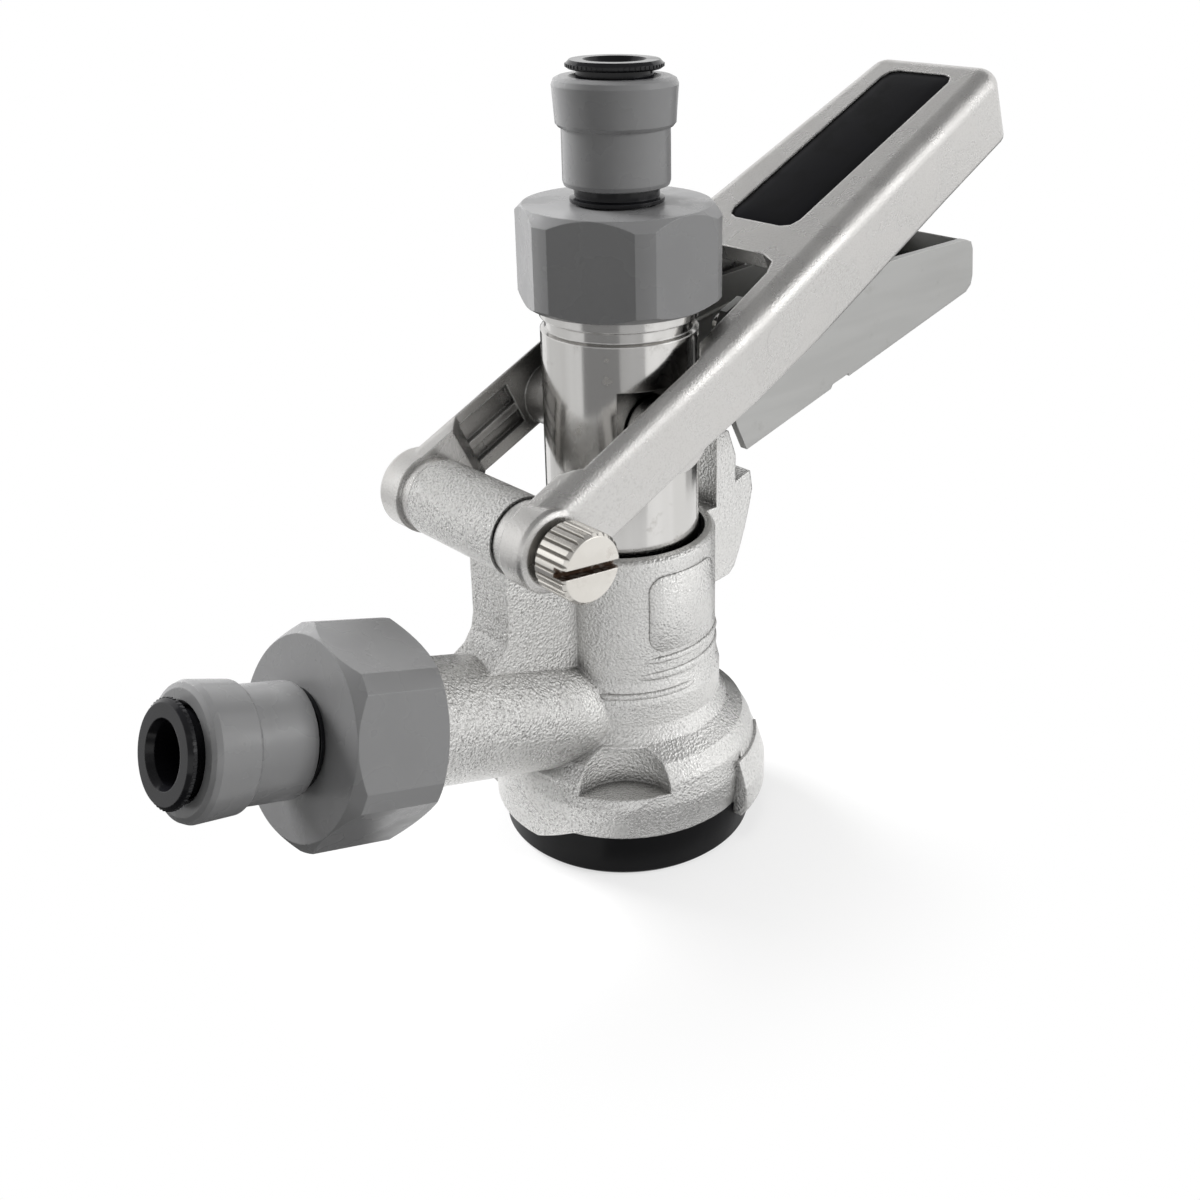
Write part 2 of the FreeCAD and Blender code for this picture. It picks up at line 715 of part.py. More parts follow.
# One push-in fitting, drawn on the beer axis and moved for the gas side
def fitting(prefix, clip_low):
    made = {}
    washer_top = s.seat_z + s.washer_t
    made["washer"] = turned(
        prefix + "_washer",
        (
            (s.ball_bore - 1.2, s.seat_z + g),
            (s.thread_r - 1.4, s.seat_z + g),
            (s.thread_r - 1.4, washer_top),
            (s.ball_bore - 1.2, washer_top),
        ),
    )
    tube = s.hose_r + s.run_gap
    made["fitting"] = turned(
        prefix + "_fitting",
        (
            (s.hose_r - 0.9, washer_top + g),
            (s.thread_r - 1.8, washer_top + g),
            (s.thread_r - 1.8, s.nut_high - 2.25),
            (s.stem_r, s.nut_high - 2.25),
            (s.stem_r, s.body_low),
            (s.body_r - 0.7, s.body_low),
            (s.body_r - 0.2, s.body_low + 0.2),
            (s.body_r, s.body_low + 0.8),
            (s.body_r, s.collar_low),
            (s.collar_r - 0.4, s.collar_low),
            (s.collar_r, s.collar_low + 0.5),
            (s.collar_rt, s.collar_top - 1.1),
            (s.collar_rt - 0.3, s.collar_top - 0.35),
            (s.collar_rt - 1.0, s.collar_top),
            (s.collet_r - 0.4, s.collar_top),
            (s.collet_r - 1.1, s.collar_top - 0.8),
            (s.collet_r - 1.1, s.collar_low + 2.2),
            (s.collet_r - 0.5, s.collar_low + 2.0),
            (s.collet_r - 0.5, s.collar_low - 0.4),
            (tube + 1.5, s.collar_low - 0.4),
            (tube + 1.5, s.collar_low - 2.8),
            (tube, s.collar_low - 2.8),
            (tube, s.body_low - 1.2),
            (s.hose_r - 0.9, s.body_low - 1.2),
        ),
    )
    made["collet"] = turned(
        prefix + "_collet",
        (
            (tube, s.collar_low + 1.1),
            (s.collet_r - 0.9, s.collar_low + 1.1),
            (s.collet_r - 0.8, s.collar_low + 1.4),
            (s.collet_r - 1.4, s.collar_low + 1.8),
            (s.collet_r - 1.4, s.collet_face - 1.25),
            (s.collet_r - 0.3, s.collet_face - 1.25),
            (s.collet_r, s.collet_face - 1.0),
            (s.collet_r, s.collet_face - 0.5),
            (s.collet_r - 0.5, s.collet_face),
            (tube + 0.5, s.collet_face),
            (tube, s.collet_face - 1.0),
        ),
    )
    made["clip"] = turned(
        prefix + "_clip",
        (
            (s.stem_r + g, clip_low),
            (s.collet_r, clip_low),
            (s.collet_r, clip_low + 0.55),
            (s.stem_r + 0.7, clip_low + 0.75),
            (s.stem_r + 0.7, s.body_low - g),
            (s.stem_r + g, s.body_low - g),
        ),
    )
    made["grab_ring"] = turned(
        prefix + "_grab_ring",
        (
            (s.hose_r + 0.2, s.collar_low - 0.3),
            (s.collet_r - 0.6, s.collar_low - 0.35),
            (s.collet_r - 0.6, s.collar_low - 0.1),
            (s.hose_r + 0.2, s.collar_low + 0.0),
        ),
    )
    made["oring"] = turned_ring(prefix + "_oring", s.collar_low - 1.6, tube + 0.75, 0.7)
    return made


def turned_ring(label, middle, core, cord):
    body = new_body(label)
    sketch = new_sketch(body, label + "_section")
    ring(sketch, core, middle, cord)
    revolve(body, sketch)
    return body


# Hexagon nut with turned corners, chamfered both ends, bored for the thread
def nut(label):
    body = new_body(label)
    hexagon = new_sketch(body, label + "_hexagon", role="XY_Plane", lift=s.nut_low)
    corners = []
    for i in range(6):
        a = math.radians(60 * i)
        reach = s.nut_flat * (1 / math.cos(math.radians(30)))
        corners.append((reach * math.cos(a), reach * math.sin(a)))
    extrude(body, outline(hexagon, corners), s.nut_high - s.nut_low, both=False)
    turning = new_sketch(body, label + "_turning")
    outline(
        turning,
        (
            (s.nut_flat - 0.1, s.nut_high + 1.0),
            (s.nut_flat - 0.1, s.nut_high),
            (s.nut_r, s.nut_high - 1.5),
            (s.nut_r, s.nut_low + 1.1),
            (s.nut_flat - 0.3, s.nut_low),
            (s.nut_flat - 0.3, s.nut_low - 1.0),
            (s.nut_r + 4.0, s.nut_low - 1.0),
            (s.nut_r + 4.0, s.nut_high + 1.0),
        ),
    )
    revolve(body, turning, "Groove")
    bore = new_sketch(body, label + "_bore")
    outline(
        bore,
        (
            (0, s.nut_low - 1.0),
            (s.thread_r + s.fit_gap + 0.7, s.nut_low - 1.0),
            (s.thread_r + s.fit_gap + 0.7, s.nut_low),
            (s.thread_r + s.fit_gap, s.nut_low + 0.7),
            (s.thread_r + s.fit_gap, s.nut_high - 1.95),
            (s.nut_hole, s.nut_high - 1.95),
            (s.nut_hole, s.nut_high + 1.0),
            (0, s.nut_high + 1.0),
        ),
    )
    revolve(body, bore, "Groove")
    return body


shift = s.gas_shift
beer = fitting("beer", s.nut_high + s.fit_gap)
gas = fitting("gas", s.nut_high + s.fit_gap + (s.nut_shift - s.gas_shift))
for name, piece in beer.items():
    parts["beer_" + name] = piece
for name, piece in gas.items():
    on_gas_axis(piece, shift)
    parts["gas_" + name] = piece
parts["beer_nut"] = nut("beer_nut")
parts["beer_nut"].Placement = FreeCAD.Placement(V(0, 0, 0), FreeCAD.Rotation(V(0, 0, 1), 2.6))
parts["gas_nut"] = nut("gas_nut")
spin = FreeCAD.Rotation(V(0, 0, 1), 18.0)
parts["gas_nut"].Placement = FreeCAD.Placement(
    V(0, 0, s.gas_z.value) + gas_dir * s.nut_shift.value, gas_turn.multiply(spin)
)

# Rubber non-return valve in the gas spigot
valve = turned(
    "gas_check_valve",
    (
        (0.5, s.seat_z - 8.6),
        (1.6, s.seat_z - 8.6),
        (s.valve_r - 2.2, s.seat_z - 3.4),
        (s.valve_r - 2.2, s.seat_z - 2.0),
        (s.valve_r - g, s.seat_z - 2.0),
        (s.valve_r - g, s.seat_z - g),
        (s.valve_r - 3.2, s.seat_z - g),
        (s.valve_r - 3.4, s.seat_z - 3.2),
    ),
)
on_gas_axis(valve, shift)
parts["gas_check_valve"] = valve

# Lever: drawn along its own X axis with the hinge at the origin, then tilted
lever = new_body("handle")
side = new_sketch(lever, "lever_side")
low = s.lever_deep
outline(
    side,
    (
        (1.0, s.lever_top),
        (s.lever_len, s.lever_top),
        (s.lever_len - 1.5, -(low - 1.2)),
        (s.lever_len - 3.6, -low),
        (s.lever_len * 0.8, -(low - 0.2)),
        (s.lever_len * 0.48, -low),
        (s.lever_len * 0.36, -(low - 0.6)),
        (s.lever_len * 0.23, -(s.lever_low + 0.5)),
        (1.8, -s.lever_low),
    ),
)
block = extrude(lever, side, s.lever_half * 2)

taper = new_sketch(lever, "taper", role="XY_Plane", lift=-(low + 6.0))
edge = s.lever_len + 4.0
for side in (1, -1):
    outline(
        taper,
        (
            (s.taper_from, s.lever_half * side),
            (edge, s.tip_half * side),
            (edge, (s.lever_half + 5.0) * side),
            (s.taper_from, (s.lever_half + 5.0) * side),
        ),
    )
block = extrude(lever, taper, low + 20.0, "Pocket", both=False, backwards=True)


def is_corner(edge):
    box = edge.BoundBox
    return box.YLength < 1.0 and box.ZLength > 8.0 and box.Center.x > s.lever_len.value - 3.0


block = round_edges(lever, block, 3.6, is_corner)


def is_top_rim(edge):
    box = edge.BoundBox
    level = abs(box.ZMin - s.lever_top.value) < 0.05 and box.ZLength < 0.05
    return level and box.XMin > s.taper_from.value - 1.0


block = round_edges(lever, block, 3.2, is_top_rim)


def is_arm_rim(edge):
    box = edge.BoundBox
    level = abs(box.ZMin - s.lever_top.value) < 0.05 and box.ZLength < 0.05
    arm = box.XMax < s.taper_from.value + 1.0 and box.XLength > 5.0
    return level and arm and abs(box.Center.y) > s.lever_half.value - 1.0


block = round_edges(lever, block, 1.0, is_arm_rim)


def is_lower_rim(edge):
    box = edge.BoundBox
    outer = box.YLength < 5.0 and abs(box.Center.y) > s.tip_half.value - 0.5
    return outer and box.ZMax < -s.lever_low.value + 0.1 and box.XLength > 3.0


block = round_edges(lever, block, 0.9, is_lower_rim)

ears = new_sketch(lever, "ears", role="XY_Plane")
outline(
    ears,
    (
        (0, -s.lever_half),
        (s.ear_r - 1.0, -s.lever_half),
        (s.ear_r - 0.3, -(s.lever_half - 0.3)),
        (s.ear_r, -(s.lever_half - 1.0)),
        (s.ear_r, s.lever_half - 1.0),
        (s.ear_r - 0.3, s.lever_half - 0.3),
        (s.ear_r - 1.0, s.lever_half),
        (0, s.lever_half),
    ),
)
revolve(lever, ears)

# The space between the arms is one opening, from the hinge to the end of the window.
between = new_sketch(lever, "between", role="XY_Plane", lift=-(low + 6.0))
half = (
    (-12.0, s.ear_step),
    (s.ear_r + 1.6, s.ear_step),
    (s.ear_r + 4.4, s.arm_in),
    (35.6, s.arm_in),
    (38.2, s.arm_mid),
    (s.window_end - 4.0, s.channel_half),
    (s.window_end - 1.2, s.channel_half - 1.2),
    (s.window_end, s.channel_half - 4.0),
)
mirrored = [(x, -y) for x, y in half]
outline(between, list(half) + mirrored[::-1])
extrude(lever, between, low + 20.0, "Pocket", both=False, backwards=True)

# Channel under the grip, open downwards
channel = new_sketch(lever, "channel", role="XY_Plane", lift=s.lever_top - s.plate)
outline(
    channel,
    (
        (s.window_end - 6.0, -s.channel_half),
        (s.lever_len - 4.4, -s.channel_tip),
        (s.lever_len - 3.4, -(s.channel_tip - 1.0)),
        (s.lever_len - 3.4, s.channel_tip - 1.0),
        (s.lever_len - 4.4, s.channel_tip),
        (s.window_end - 6.0, s.channel_half),
    ),
)
extrude(lever, channel, low + 20.0, "Pocket", both=False)

# Inner boss on each ear, and a long hollow in the inner face of each arm
for side in (1, -1):
    inner = new_sketch(lever, "ear_boss_%s" % ("near" if side > 0 else "far"))
    ring(inner, 0, 0, s.ear_r - 0.6)
    reach = s.ear_step - s.ear_in + 0.4
    offset = s.ear_in * side if side > 0 else -s.ear_in - reach
    inner.AttachmentOffset = FreeCAD.Placement(V(0, 0, offset.value), FreeCAD.Rotation())
    inner.setExpression("AttachmentOffset.Base.z", offset.text)
    extrude(lever, inner, reach, both=False)

hollow = new_sketch(lever, "arm_hollow")
outline(
    hollow,
    (
        (s.ear_r + 4.0, s.lever_top - 1.9),
        (s.boss_u - s.boss_r - 1.2, s.lever_top - 1.9),
        (s.boss_u - s.boss_r - 1.2, -(s.lever_low - 1.9)),
        (s.ear_r + 4.0, -(s.lever_low - 1.9)),
    ),
)
extrude(lever, hollow, (s.arm_in + 1.0) * 2, "Pocket")
rib = new_sketch(lever, "arm_rib")
outline(
    rib,
    (
        (s.ear_r + 3.0, 0.2),
        (s.boss_u - s.boss_r - 0.2, 0.2),
        (s.boss_u - s.boss_r - 0.2, -1.2),
        (s.ear_r + 3.0, -1.2),
    ),
)
for side in (1, -1):
    offset = s.arm_in + 0.15 if side > 0 else -(s.arm_in + 1.5)
    strip = rib if side > 0 else new_sketch(lever, "arm_rib_far")
    if side < 0:
        outline(
            strip,
            (
                (s.ear_r + 3.0, 0.2),
                (s.boss_u - s.boss_r - 0.2, 0.2),
                (s.boss_u - s.boss_r - 0.2, -1.2),
                (s.ear_r + 3.0, -1.2),
            ),
        )
    strip.AttachmentOffset = FreeCAD.Placement(V(0, 0, offset.value), FreeCAD.Rotation())
    strip.setExpression("AttachmentOffset.Base.z", offset.text)
    extrude(lever, strip, 1.35, both=False)

for side in (1, -1):
    driver = new_sketch(lever, "driver_%s" % ("far" if side < 0 else "near"))
    ring(driver, s.boss_u, s.boss_v, s.boss_r)
    reach = s.arm_in + 0.6 - s.boss_in
    offset = s.boss_in * side if side > 0 else -s.boss_in - reach
    driver.AttachmentOffset = FreeCAD.Placement(V(0, 0, offset.value), FreeCAD.Rotation())
    driver.setExpression("AttachmentOffset.Base.z", offset.text)
    extrude(lever, driver, reach, both=False)

recess = new_sketch(lever, "recess", role="XY_Plane", lift=s.lever_top - s.label_deep)


def label_outline(grow):
    a, b, h, c = s.label_low - grow, s.label_high + grow, s.label_half + grow, 2.4
    return (
        (a + c, -h),
        (b - c, -h),
        (b - c * 0.3, -(h - c * 0.3)),
        (b, -(h - c)),
        (b, h - c),
        (b - c * 0.3, h - c * 0.3),
        (b - c, h),
        (a + c, h),
        (a + c * 0.3, h - c * 0.3),
        (a, h - c),
        (a, -(h - c)),
        (a + c * 0.3, -(h - c * 0.3)),
    )


outline(recess, label_outline(s.press_gap))
extrude(lever, recess, 8.0, "Pocket", both=False, backwards=True)

pin_u = (s.pivot_x - s.hinge_x) * cosine(s.lever_tilt) + (s.pivot_z - s.hinge_z) * sine(s.lever_tilt)
pin_v = (s.pivot_z - s.hinge_z) * cosine(s.lever_tilt) - (s.pivot_x - s.hinge_x) * sine(s.lever_tilt)
holes = new_sketch(lever, "pin_holes")
ring(holes, 0, 0, s.pin_r + g)
ring(holes, pin_u, pin_v, s.pivot_r + g)
extrude(lever, holes, s.lever_half * 4, "Pocket")

lever_turn = FreeCAD.Rotation(V(0, 1, 0), -s.lever_tilt.value)
hinge_at = V(s.hinge_x.value, 0, s.hinge_z.value)
lever.Placement = FreeCAD.Placement(hinge_at, lever_turn)
parts["handle"] = lever

insert = new_body("handle_insert")
plate = new_sketch(insert, "insert_plate", role="XY_Plane", lift=s.lever_top - s.label_deep + g)
outline(plate, label_outline(0))
extrude(insert, plate, s.label_deep - 0.15, both=False)
insert.Placement = FreeCAD.Placement(hinge_at, lever_turn)
parts["handle_insert"] = insert

# Hinge pin: knurled slotted head on the near side, retained at the far side
pin = new_body("hinge_pin")
edge = s.lever_half
outline(
    new_sketch(pin, "pin_section", role="XY_Plane"),
    (
        (0, -s.knob_face),
        (s.knob_r - 0.5, -s.knob_face),
        (s.knob_r, -(s.knob_face - 0.5)),
        (s.knob_r, -(s.knob_back + 0.4)),
        (s.knob_r - 0.4, -s.knob_back),
        (s.knob_r - 1.1, -s.knob_back),
        (s.knob_r - 1.1, -(edge + g)),
        (s.pin_r, -(edge + g)),
        (s.pin_r, s.lever_half + 1.1),
        (0, s.lever_half + 1.1),
    ),
)
revolve(pin, doc.getObject("pin_section"))
groove = new_sketch(pin, "knurl", role="XZ_Plane")
groove.AttachmentOffset = FreeCAD.Placement(V(0, 0, s.knob_back.value - 1.0), FreeCAD.Rotation())
groove.setExpression("AttachmentOffset.Base.z", (s.knob_back - 1.0).text)
outline(
    groove,
    (
        (s.knob_r - 0.45, 0),
        (s.knob_r + 0.3, -0.42),
        (s.knob_r + 0.3, 0.42),
    ),
)
cut = extrude(pin, groove, s.knob_face - s.knob_back + 3.0, "Pocket", both=False, backwards=True)
repeat(pin, cut, 26, axis="Y_Axis")
slot = new_sketch(pin, "slot", role="XZ_Plane")
slot.AttachmentOffset = FreeCAD.Placement(V(0, 0, s.knob_face.value - 1.5), FreeCAD.Rotation())
slot.setExpression("AttachmentOffset.Base.z", (s.knob_face - 1.5).text)
outline(slot, ((-8, -0.65), (8, -0.65), (8, 0.65), (-8, 0.65)))
extrude(pin, slot, 4.0, "Pocket", both=False, backwards=True)
pin.Placement = FreeCAD.Placement(hinge_at, FreeCAD.Rotation(V(0, 1, 0), 7.0))
parts["hinge_pin"] = pin

clip = new_body("pin_clip")
outline(
    new_sketch(clip, "clip_section", role="XY_Plane"),
    (
        (s.pin_r + g, s.lever_half + g),
        (s.pin_r + 1.7, s.lever_half + g),
        (s.pin_r + 1.7, s.lever_half + 0.8),
        (s.pin_r + g, s.lever_half + 0.8),
    ),
)
revolve(clip, doc.getObject("clip_section"))
clip.Placement = FreeCAD.Placement(hinge_at, FreeCAD.Rotation())
parts["pin_clip"] = clip

# Trigger: folded sheet, two sides and a web along the lower edge
trigger = new_body("trigger")
px, pz = s.pivot_x, s.pivot_z
flank = new_sketch(trigger, "flank")
outline(
    flank,
    (
        (px + 1.2, pz - 20.0),
        (px + 59.6, pz - 4.7),
        (px + 60.9, pz - 3.6),
        (px + 61.3, pz - 1.9),
        (px + 60.8, pz + 3.2),
        (px + 60.1, pz + 4.6),
        (px + 58.4, pz + 5.2),
        (px + 39.0, pz + 5.0),
        (px + 5.0, pz + 3.0),
        (px + 3.2, pz + 4.3),
        (px, pz + 5.4),
        (px - 3.8, pz + 3.8),
        (px - 5.4, pz),
        (px - 4.4, pz - 6.0),
        (px - 1.1, pz - 15.4),
    ),
)
extrude(trigger, flank, s.sheet_half * 2)
fold = new_sketch(trigger, "fold")
outline(
    fold,
    (
        (px - 9.0, pz - 25.0),
        (px + 9.9, pz - 25.0),
        (px + 9.9, pz - 16.1),
        (px + 58.8, pz - 3.4),
        (px + 59.8, pz - 1.6),
        (px + 59.4, pz + 9.0),
        (px - 9.0, pz + 9.0),
    ),
)
extrude(trigger, fold, (s.sheet_half - s.sheet_t) * 2, "Pocket")
notch = new_sketch(trigger, "trigger_notch")
outline(
    notch,
    (
        (px + 20.6, pz - 16.5),
        (px + 26.8, pz - 14.9),
        (px + 26.4, pz - 12.9),
        (px + 22.2, pz - 13.9),
    ),
)
extrude(trigger, notch, s.sheet_half * 3, "Pocket")
hole = new_sketch(trigger, "trigger_hole")
ring(hole, px, pz, s.pivot_r + s.run_gap)
extrude(trigger, hole, s.sheet_half * 3, "Pocket")
parts["trigger"] = trigger

# The trigger turns on two rivets, so that the fin passes between them.
rivets = new_body("trigger_rivets")
inner = s.fin_half + s.fit_gap + 0.1
outer = s.lever_half - 1.2
rivet = new_sketch(rivets, "rivet_section", role="XY_Plane")
outline(
    rivet,
    (
        (0, inner),
        (s.pivot_r, inner),
        (s.pivot_r, outer - 0.3),
        (s.pivot_r - 0.3, outer),
        (0, outer),
    ),
)
revolve(rivets, rivet)
pair = doc.addObject("Part::Mirroring", "trigger_rivet_pair")
pair.Source = rivets
pair.Normal = (0, 1, 0)
pin_set = doc.addObject("Part::Compound", "trigger_pins")
pin_set.Links = [rivets, pair]
pin_set.Label = "trigger_pins"
pin_set.Placement = FreeCAD.Placement(V(px.value, 0, pz.value), FreeCAD.Rotation())
pin_set.setExpression("Placement.Base.x", px.text)
pin_set.setExpression("Placement.Base.z", pz.text)
parts["trigger_pins"] = pin_set


# Torsion spring: close turns round the far rivet, with two short legs
def spring_shape():
    wire_r = 0.4
    mean = s.pivot_r.value + s.fit_gap.value + wire_r
    turns = 2.75
    pitch = 0.9
    top = turns * pitch
    helix = Part.makeHelix(pitch, top, mean)
    profile = Part.Wire(Part.makeCircle(wire_r, V(mean, 0, 0), V(0, 1, 0)).Edges)
    coil = Part.Wire(helix.Edges).makePipeShell([profile], True, True)
    leg_a = Part.makeCylinder(wire_r, 12.0, V(mean, 0.0, 0), V(0.42, -1.0, 0.0))
    leg_b = Part.makeCylinder(wire_r, 12.0, V(-0.2, -mean, top), V(1.0, 0.18, 0.0))
    return coil.fuse([leg_a, leg_b]).removeSplitter()


spring = doc.addObject("Part::Feature", "trigger_spring")
spring.Label = "trigger_spring"
spring.Shape = spring_shape()
spring_at = (s.sheet_half - s.sheet_t).value - s.fit_gap.value - 0.4
spring.Placement = FreeCAD.Placement(V(px.value, spring_at, pz.value), FreeCAD.Rotation(V(1, 0, 0), 90.0))
parts["trigger_spring"] = spring

doc.recompute()

bad = []
for item in doc.Objects:
    if "Invalid" in item.State or "Error" in item.State:
        bad.append("%s %s" % (item.Name, item.State))
for name, item in sorted(parts.items()):
    shape = item.Shape
    if shape.isNull() or not shape.isValid():
        bad.append("%s has no valid shape" % name)
    elif len(shape.Solids) != (2 if name == "trigger_pins" else 1):
        bad.append("%s has %d solids" % (name, len(shape.Solids)))
for line in bad:
    print(line)
if bad:
    raise SystemExit("the model did not build cleanly")

os.makedirs("parts", exist_ok=True)
for name, item in sorted(parts.items()):
    item.Shape.exportStep("parts/%s.step" % name)
    print("%s %.1f mm3" % (name, item.Shape.Volume))
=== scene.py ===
import math
import bpy
import bmesh
from mathutils import Matrix, Vector


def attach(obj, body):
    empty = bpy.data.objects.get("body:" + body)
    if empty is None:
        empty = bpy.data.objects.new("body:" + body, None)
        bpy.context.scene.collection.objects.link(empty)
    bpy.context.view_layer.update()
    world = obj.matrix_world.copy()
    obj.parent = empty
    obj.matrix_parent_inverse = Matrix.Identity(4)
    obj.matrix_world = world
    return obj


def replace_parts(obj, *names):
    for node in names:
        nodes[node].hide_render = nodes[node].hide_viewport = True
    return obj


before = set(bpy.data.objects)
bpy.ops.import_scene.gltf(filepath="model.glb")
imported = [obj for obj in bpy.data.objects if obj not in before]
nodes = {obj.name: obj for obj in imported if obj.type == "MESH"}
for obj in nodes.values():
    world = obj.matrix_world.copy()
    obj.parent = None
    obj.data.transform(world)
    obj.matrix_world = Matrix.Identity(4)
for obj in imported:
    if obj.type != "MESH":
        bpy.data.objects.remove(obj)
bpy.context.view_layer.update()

mm = 0.001


def addNode(tree, kind, **values):
    node = tree.nodes.new(kind)
    for key, value in values.items():
        setattr(node, key, value)
    return node


# A number or colour is set on the socket, an output is linked to it
def feed(tree, socket, value):
    if isinstance(value, (int, float, tuple)):
        socket.default_value = value
    else:
        tree.links.new(value, socket)


def mathNode(tree, operation, *values):
    node = addNode(tree, "ShaderNodeMath", operation=operation)
    for socket, value in zip(node.inputs, values):
        feed(tree, socket, value)
    return node.outputs[0]


def times(tree, a, b):
    return mathNode(tree, "MULTIPLY", a, b)


# Smooth step from low to high
def spread(tree, value, low, high, toLow=0.0, toHigh=1.0):
    node = addNode(tree, "ShaderNodeMapRange", interpolation_type="SMOOTHSTEP")
    feed(tree, node.inputs["Value"], value)
    feed(tree, node.inputs["From Min"], low)
    feed(tree, node.inputs["From Max"], high)
    feed(tree, node.inputs["To Min"], toLow)
    feed(tree, node.inputs["To Max"], toHigh)
    return node.outputs["Result"]


def objectCoords(tree):
    return addNode(tree, "ShaderNodeTexCoord").outputs["Object"]


def vectorNode(tree, operation, a, b):
    node = addNode(tree, "ShaderNodeVectorMath", operation=operation)
    feed(tree, node.inputs[0], a)
    feed(tree, node.inputs[1], b)
    return node


def addNoise(tree, where, scale, detail, roughness=0.5):
    node = addNode(tree, "ShaderNodeTexNoise")
    node.inputs["Detail"].default_value = detail
    node.inputs["Roughness"].default_value = roughness
    feed(tree, node.inputs["Vector"], where)
    feed(tree, node.inputs["Scale"], scale)
    return node.outputs["Fac"]


def colourMix(tree, factor, a, b):
    node = addNode(tree, "ShaderNodeMix", data_type="RGBA", clamp_factor=True)
    feed(tree, node.inputs[0], factor)
    feed(tree, node.inputs[6], a)
    feed(tree, node.inputs[7], b)
    return node.outputs[2]


def newGroup(name):
    group = bpy.data.node_groups.new(name, "ShaderNodeTree")
    group.nodes.new("NodeGroupInput").location = (-900, 0)
    group.nodes.new("NodeGroupOutput").location = (700, 0)
    return group


def groupInput(group, name, kind, value):
    socket = group.interface.new_socket(name=name, in_out="INPUT", socket_type=kind)
    socket.default_value = value


def groupOutput(group, name, kind):
    group.interface.new_socket(name=name, in_out="OUTPUT", socket_type=kind)


def inputOf(group, name):
    for node in group.nodes:
        if node.bl_idname == "NodeGroupInput":
            return node.outputs[name]


def toOutput(group, name, value):
    for node in group.nodes:
        if node.bl_idname == "NodeGroupOutput":
            group.links.new(value, node.inputs[name])


# Rough casting skin: fine pits over soft lumps, with the darker hollows as a mask
castSkinSet = {
    "detail": 4.0,
    "roughness": 0.62,
    "cellSmoothness": 0.6,
    "cellScale": 0.9,  # times the grain
    "lumpScale": 160.0,
    "lumpDetail": 3.0,
    "grainShare": 0.7,
    "lumpShare": 0.5,
    "hollows": (0.52, 0.32),
    "blotches": (0.42, 0.66),
}


def makeCastSkin():
    s = castSkinSet
    group = newGroup("castSkin")
    groupInput(group, "Grain Size", "NodeSocketFloat", 1400.0)
    groupInput(group, "Pits", "NodeSocketFloat", 0.5)
    groupOutput(group, "Height", "NodeSocketFloat")
    groupOutput(group, "Hollows", "NodeSocketFloat")
    groupOutput(group, "Blotches", "NodeSocketFloat")
    coords = objectCoords(group)
    grain = inputOf(group, "Grain Size")
    fine = addNoise(group, coords, grain, s["detail"], s["roughness"])
    cells = addNode(group, "ShaderNodeTexVoronoi", feature="SMOOTH_F1")
    cells.inputs["Smoothness"].default_value = s["cellSmoothness"]
    feed(group, cells.inputs["Vector"], coords)
    feed(group, cells.inputs["Scale"], times(group, grain, s["cellScale"]))
    lumps = addNoise(group, coords, s["lumpScale"], s["lumpDetail"])
    pits = times(group, cells.outputs["Distance"], inputOf(group, "Pits"))
    height = mathNode(group, "ADD", times(group, fine, s["grainShare"]), pits)
    height = mathNode(group, "ADD", height, times(group, lumps, s["lumpShare"]))
    toOutput(group, "Height", height)
    toOutput(group, "Hollows", spread(group, fine, *s["hollows"]))
    toOutput(group, "Blotches", spread(group, lumps, *s["blotches"]))
    return group


# Long streaks along one axis, as a turned tube or drawn sheet shows
streakSet = {
    "lineDetail": 3.0,
    "bandDetail": 2.0,
    "bandScale": 0.22,  # times the scale of the lines
    "stainScale": 210.0,
    "stainDetail": 6.0,
    "stainRoughness": 0.7,
    "bands": (0.35, 0.68),
    "stains": (0.56, 0.72),
}


def makeStreaks():
    s = streakSet
    group = newGroup("streaks")
    groupInput(group, "Along", "NodeSocketVector", (1.0, 1.0, 0.02))
    groupInput(group, "Scale", "NodeSocketFloat", 900.0)
    groupOutput(group, "Height", "NodeSocketFloat")
    groupOutput(group, "Bands", "NodeSocketFloat")
    groupOutput(group, "Stains", "NodeSocketFloat")
    coords = objectCoords(group)
    scale = inputOf(group, "Scale")
    stretched = vectorNode(group, "MULTIPLY", coords, inputOf(group, "Along")).outputs[0]
    lines = addNoise(group, stretched, scale, s["lineDetail"])
    bands = addNoise(group, stretched, times(group, scale, s["bandScale"]), s["bandDetail"])
    stains = addNoise(group, coords, s["stainScale"], s["stainDetail"], s["stainRoughness"])
    toOutput(group, "Height", lines)
    toOutput(group, "Bands", spread(group, bands, *s["bands"]))
    toOutput(group, "Stains", spread(group, stains, *s["stains"]))
    return group


# Worn edges and painted edge highlights: a mask where the rounded normal leaves the flat one, which
# the materials carry towards a light colour
edgeWearAndSheenSet = {
    "samples": 4,
    "noiseDetail": 3.0,
    "edge": (0.995, 0.86),
    "patches": (0.3, 0.6, 0.35, 1.0),
}


def makeEdgeWearAndSheen():
    s = edgeWearAndSheenSet
    group = newGroup("edgeWearAndSheen")
    groupInput(group, "Width", "NodeSocketFloat", 0.0006)
    groupInput(group, "Break Up", "NodeSocketFloat", 700.0)
    groupOutput(group, "WearAndSheen", "NodeSocketFloat")
    groupOutput(group, "Normal", "NodeSocketVector")
    bevel = addNode(group, "ShaderNodeBevel", samples=s["samples"])
    feed(group, bevel.inputs["Radius"], inputOf(group, "Width"))
    flat = addNode(group, "ShaderNodeNewGeometry").outputs["Normal"]
    agree = vectorNode(group, "DOT_PRODUCT", bevel.outputs["Normal"], flat).outputs["Value"]
    noise = addNoise(group, objectCoords(group), inputOf(group, "Break Up"), s["noiseDetail"])
    edge = spread(group, agree, *s["edge"])
    patches = spread(group, noise, *s["patches"])
    toOutput(group, "WearAndSheen", times(group, edge, patches))
    toOutput(group, "Normal", bevel.outputs["Normal"])
    return group
